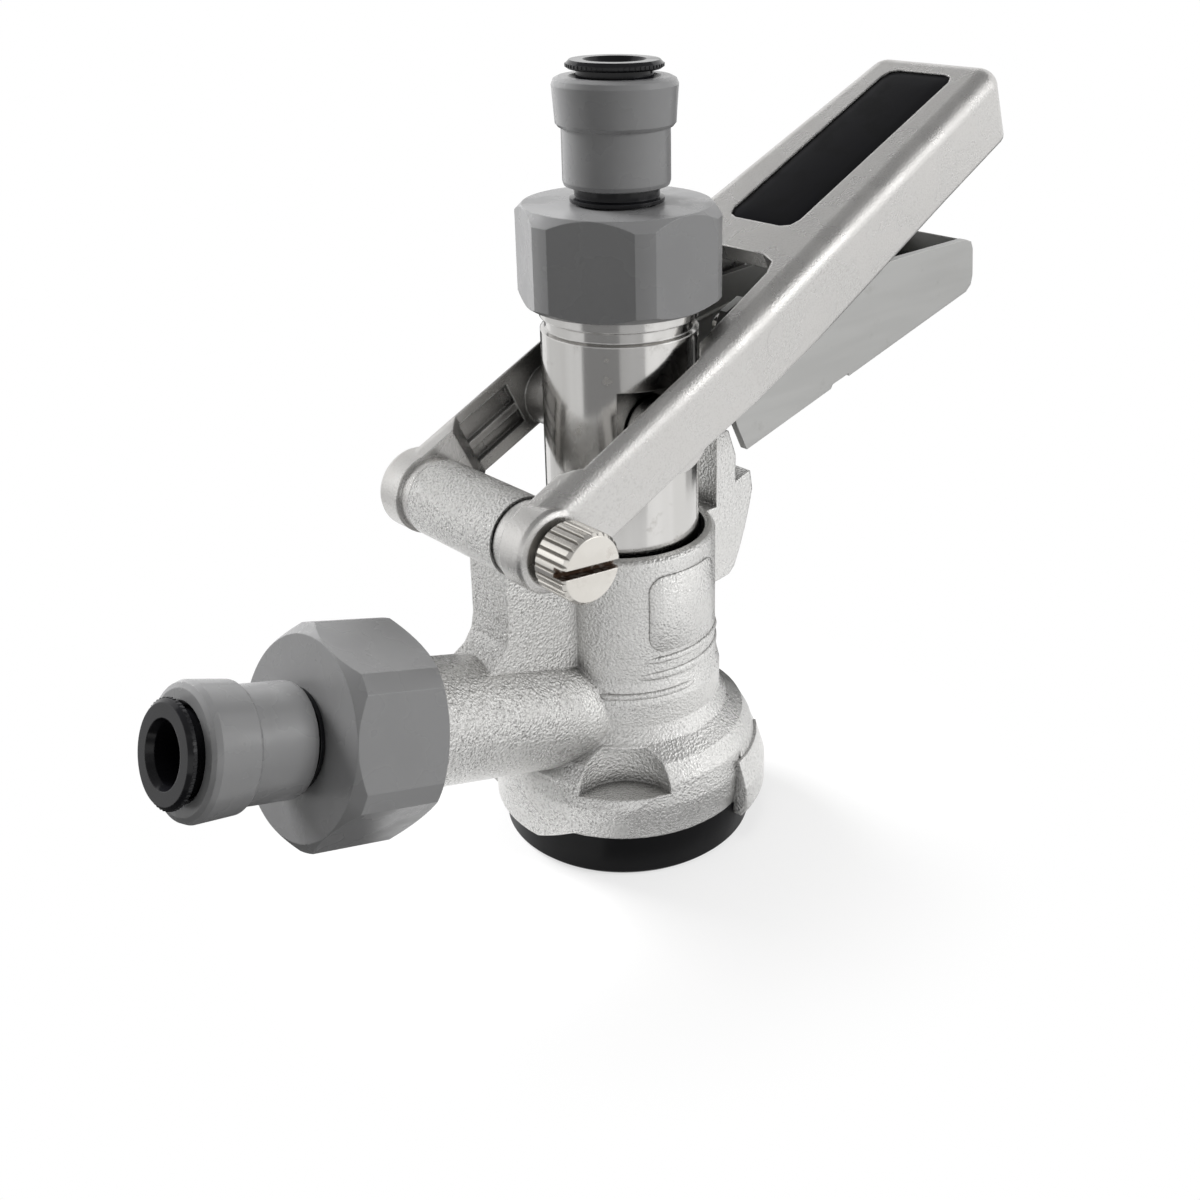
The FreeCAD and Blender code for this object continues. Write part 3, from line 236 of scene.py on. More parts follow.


# Painted shade: a mask from ambient occlusion that darkens deep corners and recesses
def makeDeepShade():
    group = newGroup("deepShade")
    groupInput(group, "Reach", "NodeSocketFloat", 0.010)
    groupInput(group, "From", "NodeSocketFloat", 0.15)
    groupInput(group, "To", "NodeSocketFloat", 0.75)
    groupOutput(group, "Depth", "NodeSocketFloat")
    shade = addNode(group, "ShaderNodeAmbientOcclusion", samples=8)
    feed(group, shade.inputs["Distance"], inputOf(group, "Reach"))
    clear = spread(group, shade.outputs["AO"], inputOf(group, "From"), inputOf(group, "To"))
    toOutput(group, "Depth", mathNode(group, "SUBTRACT", 1.0, clear))
    return group


castSkin = makeCastSkin()
streaks = makeStreaks()
edgeWearAndSheen = makeEdgeWearAndSheen()
deepShade = makeDeepShade()
print("shader groups ready")


def useGroup(tree, group, **values):
    node = addNode(tree, "ShaderNodeGroup", node_tree=group)
    for key, value in values.items():
        node.inputs[key.replace("_", " ")].default_value = value
    return node


def newMaterial(name, look):
    material = bpy.data.materials.new(name)
    material.use_nodes = True
    shader = material.node_tree.nodes["Principled BSDF"]
    shader.inputs["Metallic"].default_value = look.get("metallic", 0.0)
    shader.inputs["Roughness"].default_value = look["roughness"]
    shader.inputs["Base Color"].default_value = look["colour"]
    if "specular" in look:
        shader.inputs["Specular IOR Level"].default_value = look["specular"]
    return material, material.node_tree, shader


# Carries a colour towards another where the mask is white
def tint(tree, colour, mask, amount, towards):
    return colourMix(tree, times(tree, mask, amount), colour, towards)


# Painted shade: carries the colour towards a dark one in deep corners, by ambient occlusion
def paintCornerShade(tree, colour, look):
    start = look.get("deep", 0.15)
    clear = look.get("open", 0.75)
    shade = useGroup(tree, deepShade, Reach=look["reach"], From=start, To=clear)
    return tint(tree, colour, shade.outputs["Depth"], look["cornerShade"], look["cornerShadeColour"])


def finishShader(tree, shader, colour, rough, height, strength, depth, normal):
    bump = addNode(tree, "ShaderNodeBump")
    bump.inputs["Distance"].default_value = depth
    feed(tree, bump.inputs["Strength"], strength)
    feed(tree, bump.inputs["Height"], height)
    feed(tree, bump.inputs["Normal"], normal)
    feed(tree, shader.inputs["Base Color"], colour)
    feed(tree, shader.inputs["Roughness"], rough)
    feed(tree, shader.inputs["Normal"], bump.outputs["Normal"])


# Rust in the screwdriver slot: a band across the head, behind its face
def slotDirt(tree, slot):
    coords = objectCoords(tree)
    away = vectorNode(tree, "SUBTRACT", coords, slot["centre"]).outputs[0]
    across = vectorNode(tree, "DOT_PRODUCT", away, slot["across"]).outputs["Value"]
    aside = mathNode(tree, "ABSOLUTE", across)
    inBand = spread(tree, aside, slot["half"] * 1.25, slot["half"] * 0.98)
    split = addNode(tree, "ShaderNodeSeparateXYZ")
    feed(tree, split.inputs[0], away)
    deep = spread(tree, split.outputs["Y"], *slot["deep"])
    near = spread(tree, split.outputs["Y"], *slot["near"])
    patchy = addNoise(tree, coords, 900.0, 4.0)
    mask = times(tree, times(tree, inBand, deep), near)
    return times(tree, mask, spread(tree, patchy, 0.25, 0.55, 0.35, 1.0))


def castMetal(name, look):
    material, tree, shader = newMaterial(name, look)
    skin = useGroup(tree, castSkin, Grain_Size=look["grain"], Pits=look["pits"])
    wornAndLitEdge = useGroup(tree, edgeWearAndSheen, Width=look["edge"], Break_Up=600.0)
    strength, dirt = look["bump"], look["dirt"]
    if "coarse" in look:  # the skin is coarser on the hinge and spigot side
        split = addNode(tree, "ShaderNodeSeparateXYZ")
        feed(tree, split.inputs[0], objectCoords(tree))
        low, high = look["coarseAt"]
        strength = spread(tree, split.outputs["X"], low, high, look["bump"], look["coarse"])
        dirt = spread(tree, split.outputs["X"], low, high, look["dirt"], look["coarseDirt"])
    colour = tint(tree, look["colour"], skin.outputs["Hollows"], dirt, look["dark"])
    colour = tint(tree, colour, skin.outputs["Blotches"], 0.35, look["warm"])
    # Edges carried towards a light colour: real wear and a painted highlight
    colour = tint(tree, colour, wornAndLitEdge.outputs["WearAndSheen"], 0.8, look["bright"])
    # Painted shade in deep corners
    colour = paintCornerShade(tree, colour, look)
    base = look["roughness"]
    rough = spread(tree, skin.outputs["Blotches"], 0.0, 1.0, base - 0.05, base + 0.06)
    rough = mathNode(tree, "SUBTRACT", rough, times(tree, wornAndLitEdge.outputs["WearAndSheen"], 0.12))
    finishShader(tree, shader, colour, rough, skin.outputs["Height"], strength, look["depth"],
                 wornAndLitEdge.outputs["Normal"])
    return material


def turnedMetal(name, look):
    material, tree, shader = newMaterial(name, look)
    lines = useGroup(tree, streaks, Along=look["along"], Scale=look["scale"])
    wornAndLitEdge = useGroup(tree, edgeWearAndSheen, Width=look["edge"], Break_Up=900.0)
    colour = tint(tree, look["colour"], lines.outputs["Bands"], 0.4, look["dark"])
    colour = tint(tree, colour, lines.outputs["Stains"], look["dirt"], look["warm"])
    # Edges carried towards a light colour: real wear and a painted highlight
    colour = tint(tree, colour, wornAndLitEdge.outputs["WearAndSheen"], 0.5, look["bright"])
    # Painted shade in deep corners
    colour = paintCornerShade(tree, colour, look)
    base = look["roughness"]
    rough = spread(tree, lines.outputs["Stains"], 0.0, 1.0, base, base + 0.16)
    if "slot" in look:
        rust = slotDirt(tree, look["slot"])
        colour = colourMix(tree, rust, colour, look["slot"]["colour"])
        rough = mathNode(tree, "ADD", rough, times(tree, rust, 0.5))
    finishShader(tree, shader, colour, rough, lines.outputs["Height"], look["bump"], look["depth"],
                 wornAndLitEdge.outputs["Normal"])
    return material


def mouldedPlastic(name, look):
    material, tree, shader = newMaterial(name, look)
    skin = useGroup(tree, castSkin, Grain_Size=look["grain"], Pits=0.2)
    wornAndLitEdge = useGroup(tree, edgeWearAndSheen, Width=look["edge"], Break_Up=1100.0)
    colour = tint(tree, look["colour"], skin.outputs["Blotches"], 0.5, look["dark"])
    # Edges carried towards a light colour: rubbing and a painted highlight
    colour = tint(tree, colour, wornAndLitEdge.outputs["WearAndSheen"], look["rubAndSheen"], look["bright"])
    base = look["roughness"]
    rough = spread(tree, skin.outputs["Blotches"], 0.0, 1.0, base - 0.04, base + 0.05)
    finishShader(tree, shader, colour, rough, skin.outputs["Height"], look["bump"], look["depth"],
                 wornAndLitEdge.outputs["Normal"])
    return material


looks = {
    "castNickel": castMetal("castNickel", {
        "colour": (0.79, 0.785, 0.77, 1), "dark": (0.36, 0.355, 0.345, 1),
        "warm": (0.82, 0.81, 0.79, 1), "bright": (0.97, 0.96, 0.94, 1),
        "metallic": 0.95, "roughness": 0.31, "grain": 2800.0, "pits": 0.6,
        "dirt": 0.45, "edge": 0.0005, "bump": 0.66, "depth": 0.00028,
        "coarse": 1.0, "coarseDirt": 0.9, "coarseAt": (-0.0135, -0.0195),
        "reach": 0.0038, "deep": 0.34, "open": 0.93,
        "cornerShade": 0.80, "cornerShadeColour": (0.05, 0.048, 0.045, 1),
    }),
    "handleSatin": castMetal("handleSatin", {
        "colour": (0.66, 0.65, 0.635, 1), "dark": (0.42, 0.41, 0.395, 1),
        "warm": (0.69, 0.675, 0.655, 1), "bright": (0.95, 0.94, 0.92, 1),
        "metallic": 0.92, "roughness": 0.32, "grain": 3000.0, "pits": 0.3,
        "dirt": 0.30, "edge": 0.0005, "bump": 0.45, "depth": 0.00016,
        "reach": 0.012, "cornerShade": 0.95, "cornerShadeColour": (0.035, 0.034, 0.032, 1),
    }),
    "triggerSheet": turnedMetal("triggerSheet", {
        "colour": (0.50, 0.50, 0.49, 1), "dark": (0.42, 0.42, 0.41, 1),
        "warm": (0.40, 0.39, 0.37, 1), "bright": (0.85, 0.84, 0.82, 1),
        "metallic": 0.85, "roughness": 0.40, "scale": 1500.0, "along": (0.12, 1.0, 1.0),
        "dirt": 0.18, "edge": 0.0003, "bump": 0.10, "depth": 0.0001,
        "reach": 0.012, "cornerShade": 0.97, "cornerShadeColour": (0.02, 0.02, 0.02, 1),
    }),
    "polishedSteel": turnedMetal("polishedSteel", {
        "colour": (0.72, 0.71, 0.695, 1), "dark": (0.52, 0.51, 0.49, 1),
        "warm": (0.36, 0.335, 0.30, 1), "bright": (0.95, 0.94, 0.93, 1),
        "metallic": 1.0, "roughness": 0.14, "scale": 1100.0, "along": (1.0, 1.0, 0.03),
        "dirt": 0.45, "edge": 0.0003, "bump": 0.07, "depth": 0.0001,
        "reach": 0.004, "cornerShade": 0.8, "cornerShadeColour": (0.03, 0.03, 0.03, 1),
    }),
    "knurlNickel": turnedMetal("knurlNickel", {
        "colour": (0.78, 0.755, 0.71, 1), "dark": (0.66, 0.63, 0.58, 1),
        "warm": (0.42, 0.37, 0.31, 1), "bright": (0.97, 0.95, 0.91, 1),
        "metallic": 0.95, "roughness": 0.20, "scale": 900.0, "along": (1.0, 0.1, 1.0),
        "dirt": 0.30, "edge": 0.0002, "bump": 0.08, "depth": 0.0001,
        "reach": 0.0012, "cornerShade": 0.85, "cornerShadeColour": (0.05, 0.045, 0.04, 1),
        "slot": {
            "centre": (-0.0274, -0.0245, 0.0614), "across": (0.12187, 0.0, 0.99255),
            "half": 0.00065, "deep": (0.0, 0.00012), "near": (0.0022, 0.0018),
            "colour": (0.085, 0.050, 0.032, 1),
        },
    }),
    "springSteel": turnedMetal("springSteel", {
        "colour": (0.55, 0.55, 0.54, 1), "dark": (0.36, 0.36, 0.35, 1),
        "warm": (0.40, 0.37, 0.33, 1), "bright": (0.85, 0.85, 0.84, 1),
        "metallic": 1.0, "roughness": 0.28, "scale": 2000.0, "along": (1.0, 1.0, 0.3),
        "dirt": 0.4, "edge": 0.0002, "bump": 0.1, "depth": 0.0001,
        "reach": 0.006, "cornerShade": 0.8, "cornerShadeColour": (0.03, 0.03, 0.03, 1),
    }),
    "greyPlastic": mouldedPlastic("greyPlastic", {
        "colour": (0.285, 0.285, 0.288, 1), "dark": (0.262, 0.262, 0.265, 1),
        "bright": (0.55, 0.55, 0.555, 1), "roughness": 0.30, "grain": 3600.0,
        "rubAndSheen": 0.5, "edge": 0.00022, "bump": 0.03, "depth": 0.00003,
    }),
    "blackGloss": mouldedPlastic("blackGloss", {
        "colour": (0.010, 0.010, 0.012, 1), "dark": (0.005, 0.005, 0.006, 1),
        "bright": (0.05, 0.05, 0.052, 1), "roughness": 0.16, "grain": 2200.0,
        "rubAndSheen": 0.4, "edge": 0.0002, "bump": 0.03, "depth": 0.0001, "specular": 0.30,
    }),
    "insertGloss": mouldedPlastic("insertGloss", {
        "colour": (0.006, 0.006, 0.007, 1), "dark": (0.004, 0.004, 0.004, 1),
        "bright": (0.03, 0.03, 0.03, 1), "roughness": 0.34, "grain": 1200.0,
        "rubAndSheen": 0.3, "edge": 0.0002, "bump": 0.04, "depth": 0.0001, "specular": 0.03,
    }),
    "blackRubber": mouldedPlastic("blackRubber", {
        "colour": (0.012, 0.012, 0.013, 1), "dark": (0.007, 0.007, 0.008, 1),
        "bright": (0.04, 0.04, 0.04, 1), "roughness": 0.38, "grain": 1800.0,
        "rubAndSheen": 0.3, "edge": 0.0004, "bump": 0.12, "depth": 0.0001, "specular": 0.12,
    }),
    "whitePlastic": mouldedPlastic("whitePlastic", {
        "colour": (0.78, 0.775, 0.75, 1), "dark": (0.70, 0.69, 0.66, 1),
        "bright": (0.86, 0.86, 0.85, 1), "roughness": 0.35, "grain": 1500.0,
        "rubAndSheen": 0.3, "edge": 0.0003, "bump": 0.05, "depth": 0.0001,
    }),
}

wearing = {
    "castNickel": ("body",),
    "handleSatin": ("handle",),
    "triggerSheet": ("trigger",),
    "polishedSteel": ("probe", "trigger_pins"),
    "knurlNickel": ("hinge_pin",),
    "springSteel": ("trigger_spring", "pin_clip", "beer_grab_ring", "gas_grab_ring"),
    "greyPlastic": ("beer_nut", "gas_nut", "beer_fitting", "gas_fitting"),
    "blackGloss": ("beer_collet", "gas_collet", "beer_clip", "gas_clip"),
    "insertGloss": ("handle_insert",),
    "blackRubber": ("foot_seal", "gas_washer", "beer_washer", "gas_check_valve", "probe_seal",
                    "probe_oring_upper", "probe_oring_lower", "beer_oring", "gas_oring"),
    "whitePlastic": ("check_ball", "ball_cage"),
}
for lookName, wearers in wearing.items():
    for nodeName in wearers:
        obj = nodes[nodeName]
        obj.data.materials.clear()
        obj.data.materials.append(looks[lookName])
print("materials placed")


def newObject(name, bm, material):
    mesh = bpy.data.meshes.new(name)
    bm.to_mesh(mesh)
    bm.free()
    mesh.materials.append(material)
    obj = bpy.data.objects.new(name, mesh)
    bpy.context.scene.collection.objects.link(obj)
    return obj


def newPiece(name, bm, look, home, smooth=True, recalc=True):
    if recalc:
        bmesh.ops.recalc_face_normals(bm, faces=bm.faces)
    for face in bm.faces:
        face.smooth = smooth
    obj = newObject(name, bm, looks[look])
    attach(obj, home)
    return obj


def everything(bm):
    return bm.verts[:] + bm.edges[:] + bm.faces[:]


def turned(degrees, axis):
    return Matrix.Rotation(math.radians(degrees), 4, axis)


# Spins edges or faces round the probe's axis
def spinRound(bm, geom, degrees, steps, copies=False):
    bmesh.ops.spin(bm, geom=geom, cent=(0, 0, 0), axis=(0, 0, 1), dvec=(0, 0, 0),
                   angle=math.radians(degrees), steps=steps, use_merge=False, use_duplicate=copies)


# The lever's own frame: along the arms from the hinge, across them, and up square to them
leverSet = {
    "x": -27.4,
    "z": 61.4,
    "tilt": 25.8,
    "half": 17.2,
    "taperFrom": 42.0,
    "taperLength": 81.3,
    "draw": 4.2,
}
leverFrame = (
    Matrix.Scale(mm, 4)
    @ Matrix.Translation((leverSet["x"], 0, leverSet["z"]))
    @ turned(-leverSet["tilt"], "Y")
)


# A flat plate with rounded corners, in the XY plane
def roundedPlate(bm, width, height, corner):
    bmesh.ops.create_grid(bm, x_segments=1, y_segments=1, size=0.5)
    bmesh.ops.scale(bm, vec=(width, height, 1), verts=bm.verts)
    bmesh.ops.bevel(bm, geom=bm.verts[:], offset=corner, segments=8, profile=0.5,
                    affect="VERTICES", material=-1)
    return bm.faces[:]


def raiseFaces(bm, faces, height):
    grown = bmesh.ops.extrude_face_region(bm, geom=faces)["geom"]
    corners = [v for v in grown if isinstance(v, bmesh.types.BMVert)]
    bmesh.ops.translate(bm, vec=(0, 0, height), verts=corners)
    return [f for f in grown if isinstance(f, bmesh.types.BMFace)]


# Each step draws the top face in by the first number and lifts it by the second
def crown(bm, top, width, height, steps):
    for draw, lift in steps:
        top = raiseFaces(bm, top, lift)
        corners = list({v for f in top for v in f.verts})
        shrink = ((width - 2 * draw) / width, (height - 2 * draw) / height, 1)
        bmesh.ops.scale(bm, vec=shrink, verts=corners)
        width = width - 2 * draw
        height = height - 2 * draw


# Domed insert in the top of the grip, bare
insertSet = {
    "low": 67.0,
    "high": 113.6,
    "width": 14.4,
    "corner": 2.4,
    "floor": 4.75,
    "rise": 0.55,
    "crown": ((0.10, 0.17), (0.30, 0.08), (1.6, 0.17), (2.2, 0.11), (2.0, 0.04)),
}


def makeInsert():
    s = insertSet
    bm = bmesh.new()
    length = s["high"] - s["low"]
    plate = roundedPlate(bm, length, s["width"], s["corner"])
    crown(bm, raiseFaces(bm, plate, s["rise"]), length, s["width"], s["crown"])
    middle = Matrix.Translation(((s["low"] + s["high"]) / 2, 0, s["floor"]))
    bmesh.ops.transform(bm, matrix=leverFrame @ middle, verts=bm.verts)
    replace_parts(newPiece("insert_dome", bm, "insertGloss", "lever"), "handle_insert")


# Smooth skin of the arms over the bores of the trigger rivets
skinSet = {"along": 49.17, "up": -0.998, "radius": 2.75, "proud": 0.012, "segments": 40}


def makeSkin(name, side):
    s = skinSet
    slope = leverSet["draw"] / leverSet["taperLength"]
    half = leverSet["half"] - (s["along"] - leverSet["taperFrom"]) * slope
    bm = bmesh.new()
    bmesh.ops.create_circle(bm, cap_ends=True, segments=s["segments"], radius=s["radius"])
    lean = Matrix.Rotation(-math.atan(slope) * side, 4, "Z")
    place = Matrix.Translation((s["along"], side * (half + s["proud"]), s["up"]))
    whole = leverFrame @ place @ lean @ turned(-90 * side, "X")
    bmesh.ops.transform(bm, matrix=whole, verts=bm.verts)
    newPiece(name, bm, "handleSatin", "lever", recalc=False)


makeInsert()
makeSkin("arm_skin_far", 1)
makeSkin("arm_skin_near", -1)
print("lever dressed")


# Raised pad on the barrel, bare: a plate cut into strips, then wrapped round the barrel
padSet = {
    "middle": -89.5,  # degrees round the barrel
    "width": 14.0,
    "low": 36.0,
    "high": 48.8,
    "corner": 2.6,
    "radius": 14.58,
    "rise": 0.22,
    "crown": ((0.12, 0.10), (0.25, 0.06)),
    "strip": 0.9,
}


def makePad():
    s = padSet
    bm = bmesh.new()
    height = s["high"] - s["low"]
    centre = (s["low"] + s["high"]) / 2
    plate = roundedPlate(bm, s["width"], height, s["corner"])
    crown(bm, raiseFaces(bm, plate, s["rise"]), s["width"], height, s["crown"])
    for k in range(1, int(s["width"] / s["strip"])):
        cut = (k * s["strip"] - s["width"] / 2, 0, 0)
        bmesh.ops.bisect_plane(bm, geom=everything(bm), dist=1e-5, plane_co=cut, plane_no=(1, 0, 0))
    for v in bm.verts:
        angle = math.radians(s["middle"]) + v.co.x / s["radius"]
        radius = s["radius"] + v.co.z
        v.co = Vector((radius * math.cos(angle), radius * math.sin(angle), v.co.y + centre)) * mm
    newPiece("barrel_pad", bm, "castNickel", "housing")


# Ridges left by the mould: half a rod spun round the barrel, fading out at both ends
ridgeSet = {
    "segments": 20,
    "steps": 48,
    "fadeRate": 8,  # 8 fades over an eighth of the ridge at each end
    "sink": 0.2,
    "thin": 0.3,
    "ridges": (  # name, from, to, height, barrel radius, half width, proud
        ("barrel_ridge_high", -122, -38, 34.6, 14.60, 0.55, 0.34),
        ("barrel_ridge_low", -126, -24, 31.9, 14.62, 0.70, 0.30),
        ("barrel_step", -152, -84, 28.9, 14.92, 0.60, 0.42),
    ),
}


def makeRidge(name, start, end, height, barrel, half, proud):
    s = ridgeSet
    bm = bmesh.new()
    bmesh.ops.create_circle(bm, cap_ends=True, segments=s["segments"], radius=1.0)
    bmesh.ops.scale(bm, vec=(proud, half, 1), verts=bm.verts)
    place = turned(start, "Z") @ Matrix.Translation((barrel, 0, height)) @ turned(90, "X")
    bmesh.ops.transform(bm, matrix=place, verts=bm.verts)
    spinRound(bm, everything(bm), end - start, s["steps"])
    for v in bm.verts:
        radius = math.hypot(v.co.x, v.co.y)
        share = (math.degrees(math.atan2(v.co.y, v.co.x)) - start) / (end - start)
        fade = math.sqrt(max(0.0, min(1.0, s["fadeRate"] * share, s["fadeRate"] * (1 - share))))
        sunk = (barrel + (radius - barrel) * fade - s["sink"] * (1 - fade)) / radius
        thin = s["thin"] + (1 - s["thin"]) * fade
        v.co = Vector((v.co.x * sunk, v.co.y * sunk, height + (v.co.z - height) * thin)) * mm
    newPiece(name, bm, "castNickel", "housing")


makePad()
for ridge in ridgeSet["ridges"]:
    makeRidge(*ridge)
print("barrel dressed")


# Fine grip ribs round the rim of each release collet
colletSet = {
    "rim": 7.0,
    "low": 122.60,
    "high": 123.06,
    "proud": 0.11,
    "width": 0.34,
    "round": 0.05,
    "count": 54,
    "inletHeight": 20.0,
    "inletTurn": -72.5,
    "inletDrop": -42.08,
}
gasAxis = (
    Matrix.Translation((0, 0, colletSet["inletHeight"]))
    @ turned(colletSet["inletTurn"], "Y")
    @ Matrix.Translation((0, 0, colletSet["inletDrop"]))
)


def makeColletRibs(name, body, axis):
    s = colletSet
    bm = bmesh.new()
    bmesh.ops.create_cube(bm, size=1.0)
    bmesh.ops.scale(bm, vec=(2 * s["proud"], s["width"], s["high"] - s["low"]), verts=bm.verts)
    outer = [e for e in bm.edges if all(v.co.x > 0 for v in e.verts)]
    bmesh.ops.bevel(bm, geom=outer, offset=s["round"], segments=2, profile=0.5,
                    affect="EDGES", material=-1)
    bmesh.ops.translate(bm, vec=(s["rim"], 0, (s["low"] + s["high"]) / 2), verts=bm.verts)
    spinRound(bm, everything(bm), 360 * (s["count"] - 1) / s["count"], s["count"] - 1, copies=True)
    bmesh.ops.transform(bm, matrix=Matrix.Scale(mm, 4) @ axis, verts=bm.verts)
    newPiece(name, bm, "blackGloss", body, smooth=False)


makeColletRibs("beer_collet_ribs", "beer_collet_part", Matrix.Identity(4))
makeColletRibs("gas_collet_ribs", "gas_collet_part", gasAxis)
print("collets ribbed")


# Pale floor, soft lamps, and cards that only shiny surfaces see
studio = {
    "floorColour": (0.36, 0.36, 0.36, 1),
    "floorGlow": 0.66,
    "floorHalf": 4.0,
    "whiteFrom": 0.026,  # metres from the origin, where the floor starts to turn pure white
    "whiteTo": 0.072,
    "worldGlow": 0.16,
    "aimHeight": 0.06,
    "lamps": (  # name, azimuth, elevation, distance, width, height, watts
        ("leftLamp", 103, 26, 0.85, 0.40, 0.40, 12.5),
        ("rightLamp", 302, 26, 0.85, 0.40, 0.36, 3.8),
        ("topLamp", 215, 80, 0.90, 0.36, 0.36, 1.4),
    ),
    "standingCards": (  # name, from, to, distance, low, high, brightness
        ("darkLeftBack", 40, 76, 0.17, 0.0, 0.090, 0.03),
        ("darkRight", -6, 40, 0.17, 0.0, 0.090, 0.03),
        ("greySky", 172, 284, 0.45, 0.20, 0.44, 0.42),
        ("brightRight", 288, 318, 0.44, 0.12, 0.30, 2.4),
        ("brightLeft", 122, 150, 0.44, 0.14, 0.30, 1.3),
    ),
    "levelCards": (  # name, from, to, inner, outer, height, brightness
        ("greySkirt", 214, 300, 0.024, 0.044, 0.0004, 0.26),
        ("darkBehind", 11, 78, 0.045, 0.15, 0.0004, 0.04),
        ("darkFarBehind", -8, 78, 0.15, 0.30, 0.0004, 0.04),
        ("darkSide", 138, 200, 0.045, 0.15, 0.0004, 0.06),
        ("greyFront", 200, 262, 0.045, 0.15, 0.0004, 0.78),
        ("greyLeft", 98, 174, 0.15, 0.60, 0.0004, 0.74),
        ("greyMiddle", 174, 228, 0.15, 0.60, 0.0004, 0.24),
        ("paleMiddle", 228, 264, 0.15, 0.60, 0.0004, 0.50),
        ("greyCorner", 334, 352, 0.15, 0.60, 0.0004, 0.50),
        ("greyCeiling", 0, 360, 0.0001, 0.50, 0.50, 0.30),
    ),
}


# 1 where the camera, a reflection or glass sees it, 0 where it would light the object
def seenDirectly(tree):
    ray = addNode(tree, "ShaderNodeLightPath").outputs
    seen = mathNode(tree, "MAXIMUM", ray["Is Camera Ray"], ray["Is Transmission Ray"])
    return mathNode(tree, "MAXIMUM", seen, ray["Is Glossy Ray"])


def mixShaders(tree, factor, a, b):
    mix = addNode(tree, "ShaderNodeMixShader")
    tree.links.new(factor, mix.inputs[0])
    tree.links.new(a.outputs[0], mix.inputs[1])
    tree.links.new(b.outputs[0], mix.inputs[2])
    return mix


def bareMaterial(name):
    material = bpy.data.materials.new(name)
    material.use_nodes = True
    material.node_tree.nodes.clear()
    return material, material.node_tree


def makeFloor():
    bm = bmesh.new()
    bmesh.ops.create_grid(bm, x_segments=1, y_segments=1, size=studio["floorHalf"])
    material, tree = bareMaterial("paleFloor")
    matt = addNode(tree, "ShaderNodeBsdfDiffuse")
    matt.inputs["Color"].default_value = studio["floorColour"]
    seen = seenDirectly(tree)
    glow = addNode(tree, "ShaderNodeEmission")
    feed(tree, glow.inputs["Strength"], times(tree, seen, studio["floorGlow"]))
    both = addNode(tree, "ShaderNodeAddShader")
    tree.links.new(matt.outputs[0], both.inputs[0])
    tree.links.new(glow.outputs[0], both.inputs[1])
    reach = addNode(tree, "ShaderNodeVectorMath", operation="LENGTH")
    feed(tree, reach.inputs[0], objectCoords(tree))
    far = spread(tree, reach.outputs["Value"], studio["whiteFrom"], studio["whiteTo"])
    white = addNode(tree, "ShaderNodeEmission")
    surface = mixShaders(tree, times(tree, far, seen), both, white)
    tree.links.new(surface.outputs[0], addNode(tree, "ShaderNodeOutputMaterial").inputs["Surface"])
    newObject("floor", bm, material)


def makeWorld():
    world = bpy.data.worlds.new("studio")
    bpy.context.scene.world = world
    world.use_nodes = True
    tree = world.node_tree
    tree.nodes.clear()
    soft = addNode(tree, "ShaderNodeBackground")
    soft.inputs["Strength"].default_value = studio["worldGlow"]
    soft.inputs["Color"].default_value = (1, 1, 1, 1)
    white = addNode(tree, "ShaderNodeBackground")
    white.inputs["Strength"].default_value = 1.0
    white.inputs["Color"].default_value = (1, 1, 1, 1)
    surface = mixShaders(tree, seenDirectly(tree), soft, white)
    tree.links.new(surface.outputs[0], addNode(tree, "ShaderNodeOutputWorld").inputs["Surface"])


# The lamps themselves are hidden from reflections
def areaLamp(name, azimuth, elevation, distance, width, height, watts):
    lamp = bpy.data.lights.new(name, "AREA")
    lamp.shape = "RECTANGLE"
    lamp.size = width
    lamp.size_y = height
    lamp.energy = watts
    a = math.radians(azimuth)
    e = math.radians(elevation)
    away = Vector((math.cos(e) * math.cos(a), math.cos(e) * math.sin(a), math.sin(e)))
    obj = bpy.data.objects.new(name, lamp)
    bpy.context.scene.collection.objects.link(obj)
    obj.location = away * distance + Vector((0, 0, studio["aimHeight"]))
    obj.rotation_euler = (-away).to_track_quat("-Z", "Y").to_euler()
    obj.visible_glossy = False


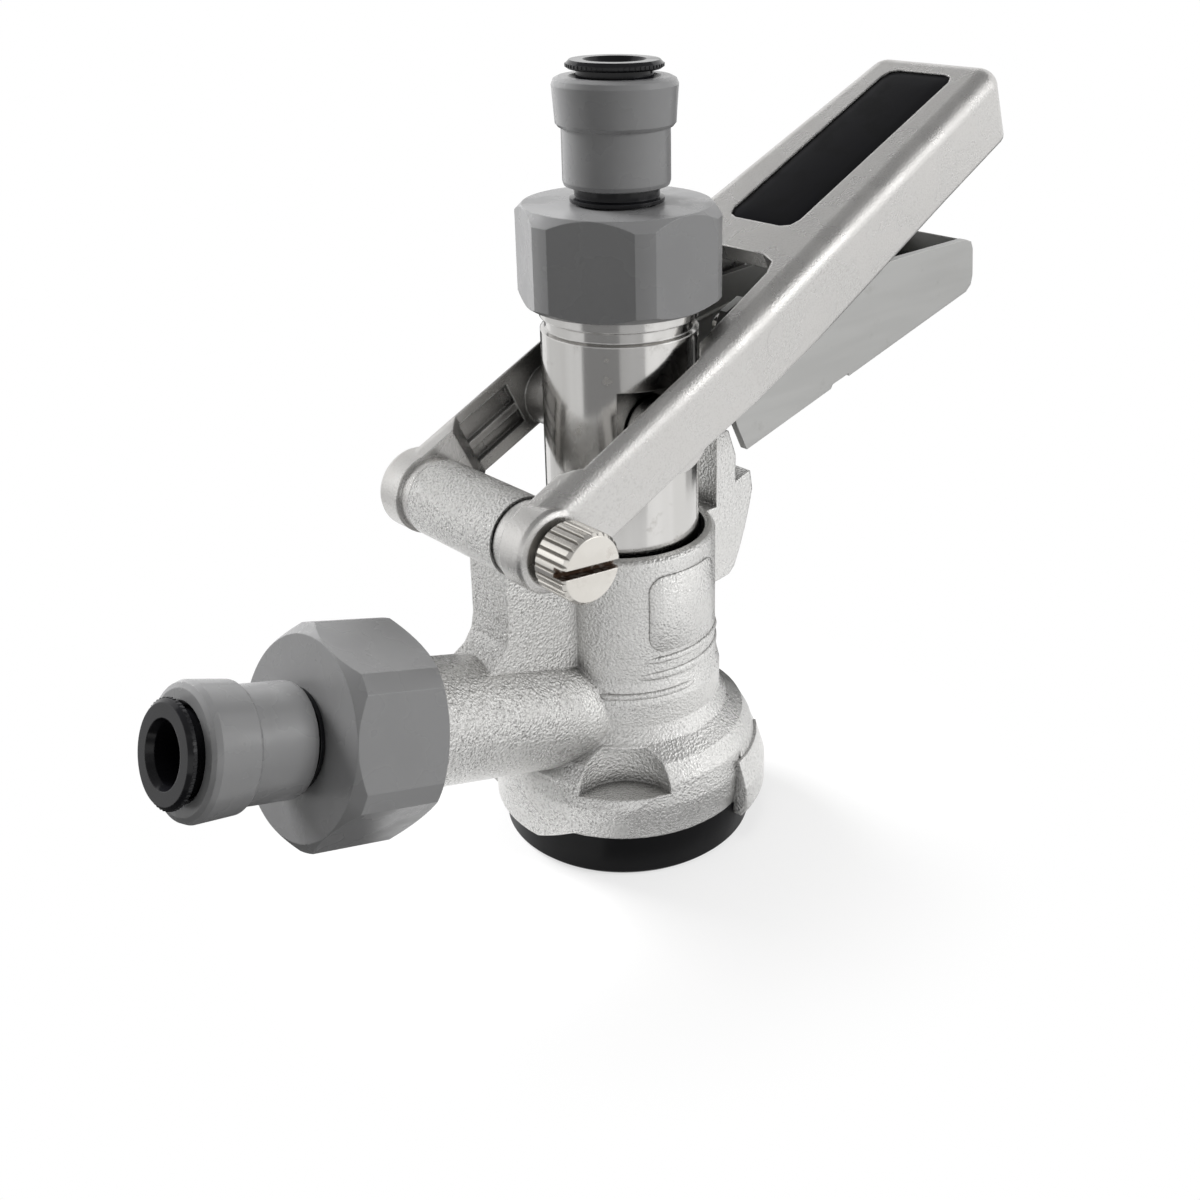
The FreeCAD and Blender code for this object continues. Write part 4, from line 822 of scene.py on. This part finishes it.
# A strip from foot to head, spun round the object
def makeCard(name, start, end, foot, head, brightness):
    bm = bmesh.new()
    ends = [bm.verts.new(foot), bm.verts.new(head)]
    edge = bm.edges.new(ends)
    bmesh.ops.transform(bm, matrix=turned(start, "Z"), verts=ends)
    spinRound(bm, ends + [edge], end - start, 16)
    material, tree = bareMaterial(name + "Card")
    glow = addNode(tree, "ShaderNodeEmission")
    glow.inputs["Strength"].default_value = brightness
    tree.links.new(glow.outputs[0], addNode(tree, "ShaderNodeOutputMaterial").inputs["Surface"])
    card = newObject(name, bm, material)
    card.visible_camera = False
    card.visible_shadow = False
    card.visible_diffuse = False
    card.visible_transmission = False


makeFloor()
makeWorld()
for lampSet in studio["lamps"]:
    areaLamp(*lampSet)
for name, start, end, distance, low, high, brightness in studio["standingCards"]:
    makeCard(name, start, end, (distance, 0, low), (distance, 0, high), brightness)
for name, start, end, inner, outer, height, brightness in studio["levelCards"]:
    makeCard(name, start, end, (inner, 0, height), (outer, 0, height), brightness)
print("lamps and cards placed")


# The photo's viewing angle
cameraSet = {
    "place": (-138.16, -155.70, 144.47),
    "azimuth": -44.754,
    "elevation": 20.561,
    "roll": 0.017,
    "sensor": 36.0,
    "lens": 42.83,
    "shiftX": -0.0798,
    "shiftY": -0.1363,
    "near": 0.01,
    "far": 20.0,
}


def makeCamera():
    s = cameraSet
    data = bpy.data.cameras.new("photoCamera")
    data.sensor_width = s["sensor"]
    data.sensor_fit = "HORIZONTAL"
    data.lens = s["lens"]
    data.shift_x = s["shiftX"]
    data.shift_y = s["shiftY"]
    data.clip_start = s["near"]
    data.clip_end = s["far"]
    a = math.radians(s["azimuth"])
    e = math.radians(s["elevation"])
    right = Vector((math.cos(a), math.sin(a), 0))
    back = Vector((math.sin(a) * math.cos(e), -math.cos(a) * math.cos(e), math.sin(e)))
    facing = Matrix((right, back.cross(right), back)).transposed().to_4x4()
    camera = bpy.data.objects.new("photoCamera", data)
    bpy.context.scene.collection.objects.link(camera)
    camera.matrix_world = Matrix.Translation(Vector(s["place"]) * mm) @ facing @ turned(s["roll"], "Z")
    bpy.context.scene.camera = camera


makeCamera()
bpy.context.scene.view_settings.view_transform = "Standard"
print("studio ready")
